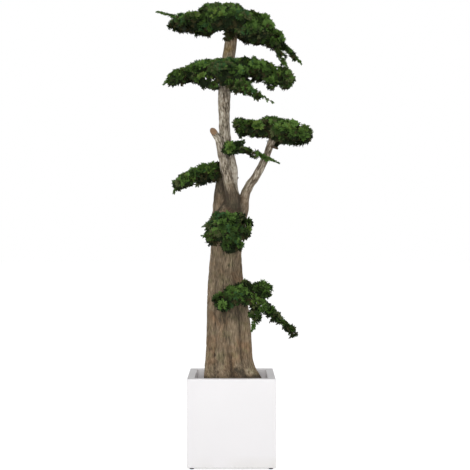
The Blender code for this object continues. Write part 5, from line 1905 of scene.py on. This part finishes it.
def make_stage():
    """A wide pale floor, soft lights and a white surround."""
    finish, tree, shader = new_finish("studio_floor", 0.9)
    shader.inputs["Base Color"].default_value = (0.86, 0.86, 0.86, 1.0)
    shader.inputs["Emission Color"].default_value = WHITE
    seen = tree.nodes.new("ShaderNodeLightPath").outputs["Is Camera Ray"]
    join(tree, span(tree, seen, 0.0, 1.0, 0.0, FLOOR_GLOW), shader.inputs["Emission Strength"])
    corners = [(FLOOR_REACH * x, FLOOR_REACH * y, 0) for x, y in ((-1, -1), (1, -1), (1, 1), (-1, 1))]
    floor = add_piece("studio_floor", corners, [(0, 1, 2, 3)], [finish])
    world = bpy.data.worlds.new("studio")
    bpy.context.scene.world = world
    world.use_nodes = True
    tree = world.node_tree
    light = tree.nodes["Background"]
    light.inputs["Color"].default_value = WHITE
    light.inputs["Strength"].default_value = ROOM_LIGHT
    shown = wired(tree, "ShaderNodeBackground", {"Color": WHITE, "Strength": 1.0})
    seen = tree.nodes.new("ShaderNodeLightPath").outputs["Is Camera Ray"]
    choice = wired(tree, "ShaderNodeMixShader", {0: seen, 1: light.outputs[0], 2: shown.outputs[0]})
    join(tree, choice.outputs[0], tree.nodes["World Output"].inputs["Surface"])
    for name, place, aim, size, power in LAMPS:
        lamp = bpy.data.lights.new(name, "AREA")
        lamp.energy = power
        lamp.shape = "SQUARE"
        lamp.size = size
        holder = put_in_scene(name, lamp)
        holder.location = place
        way = Vector(aim) - Vector(place)
        holder.rotation_euler = way.to_track_quat("-Z", "Y").to_euler()


def make_camera():
    lens = bpy.data.cameras.new("front_camera")
    lens.lens = CAMERA_LENS
    lens.sensor_width = 36.0
    lens.clip_end = 200.0
    camera = put_in_scene("front_camera", lens)
    camera.location = CAMERA_PLACE
    camera.rotation_euler = (math.pi / 2, 0.0, 0.0)
    bpy.context.scene.camera = camera


def main():
    bpy.context.scene.view_settings.view_transform = "Standard"
    make_camera()
    make_stage()
    grain = make_grain_group()
    bark = make_bark("fluted_bark", grain)
    twig_bark = make_twig_bark("twig_bark", grain)
    make_trunk(bark)
    for number, name in enumerate(LIMBS):
        finishes = [bark, make_cut_wood("sawn_wood", grain)] if name == "twisted_limb" else [bark]
        make_limb(name, number, finishes)
    twig_tree = make_twig_tree()
    make_spurs(twig_tree, twig_bark)
    leaf_finishes = make_leaf_finishes()
    kinds = [spray_kind(number) for number in range(SPRAY_KINDS)]
    for mass in MASSES:
        make_mass(mass, kinds, leaf_finishes, twig_tree, twig_bark)
    make_planter(make_planter_white("satin_white"))
    make_feet(make_rubber("foot_rubber"))
    bed = make_bed(make_mulch("bed_brown", grain, *BED_COLOURS))
    scatter = make_scatter_tree()
    for number, (name, colours) in enumerate(CHIP_COLOURS.items()):
        make_chips(name, number, bed, scatter, make_mulch(f"{name}_finish", grain, *colours))


main()
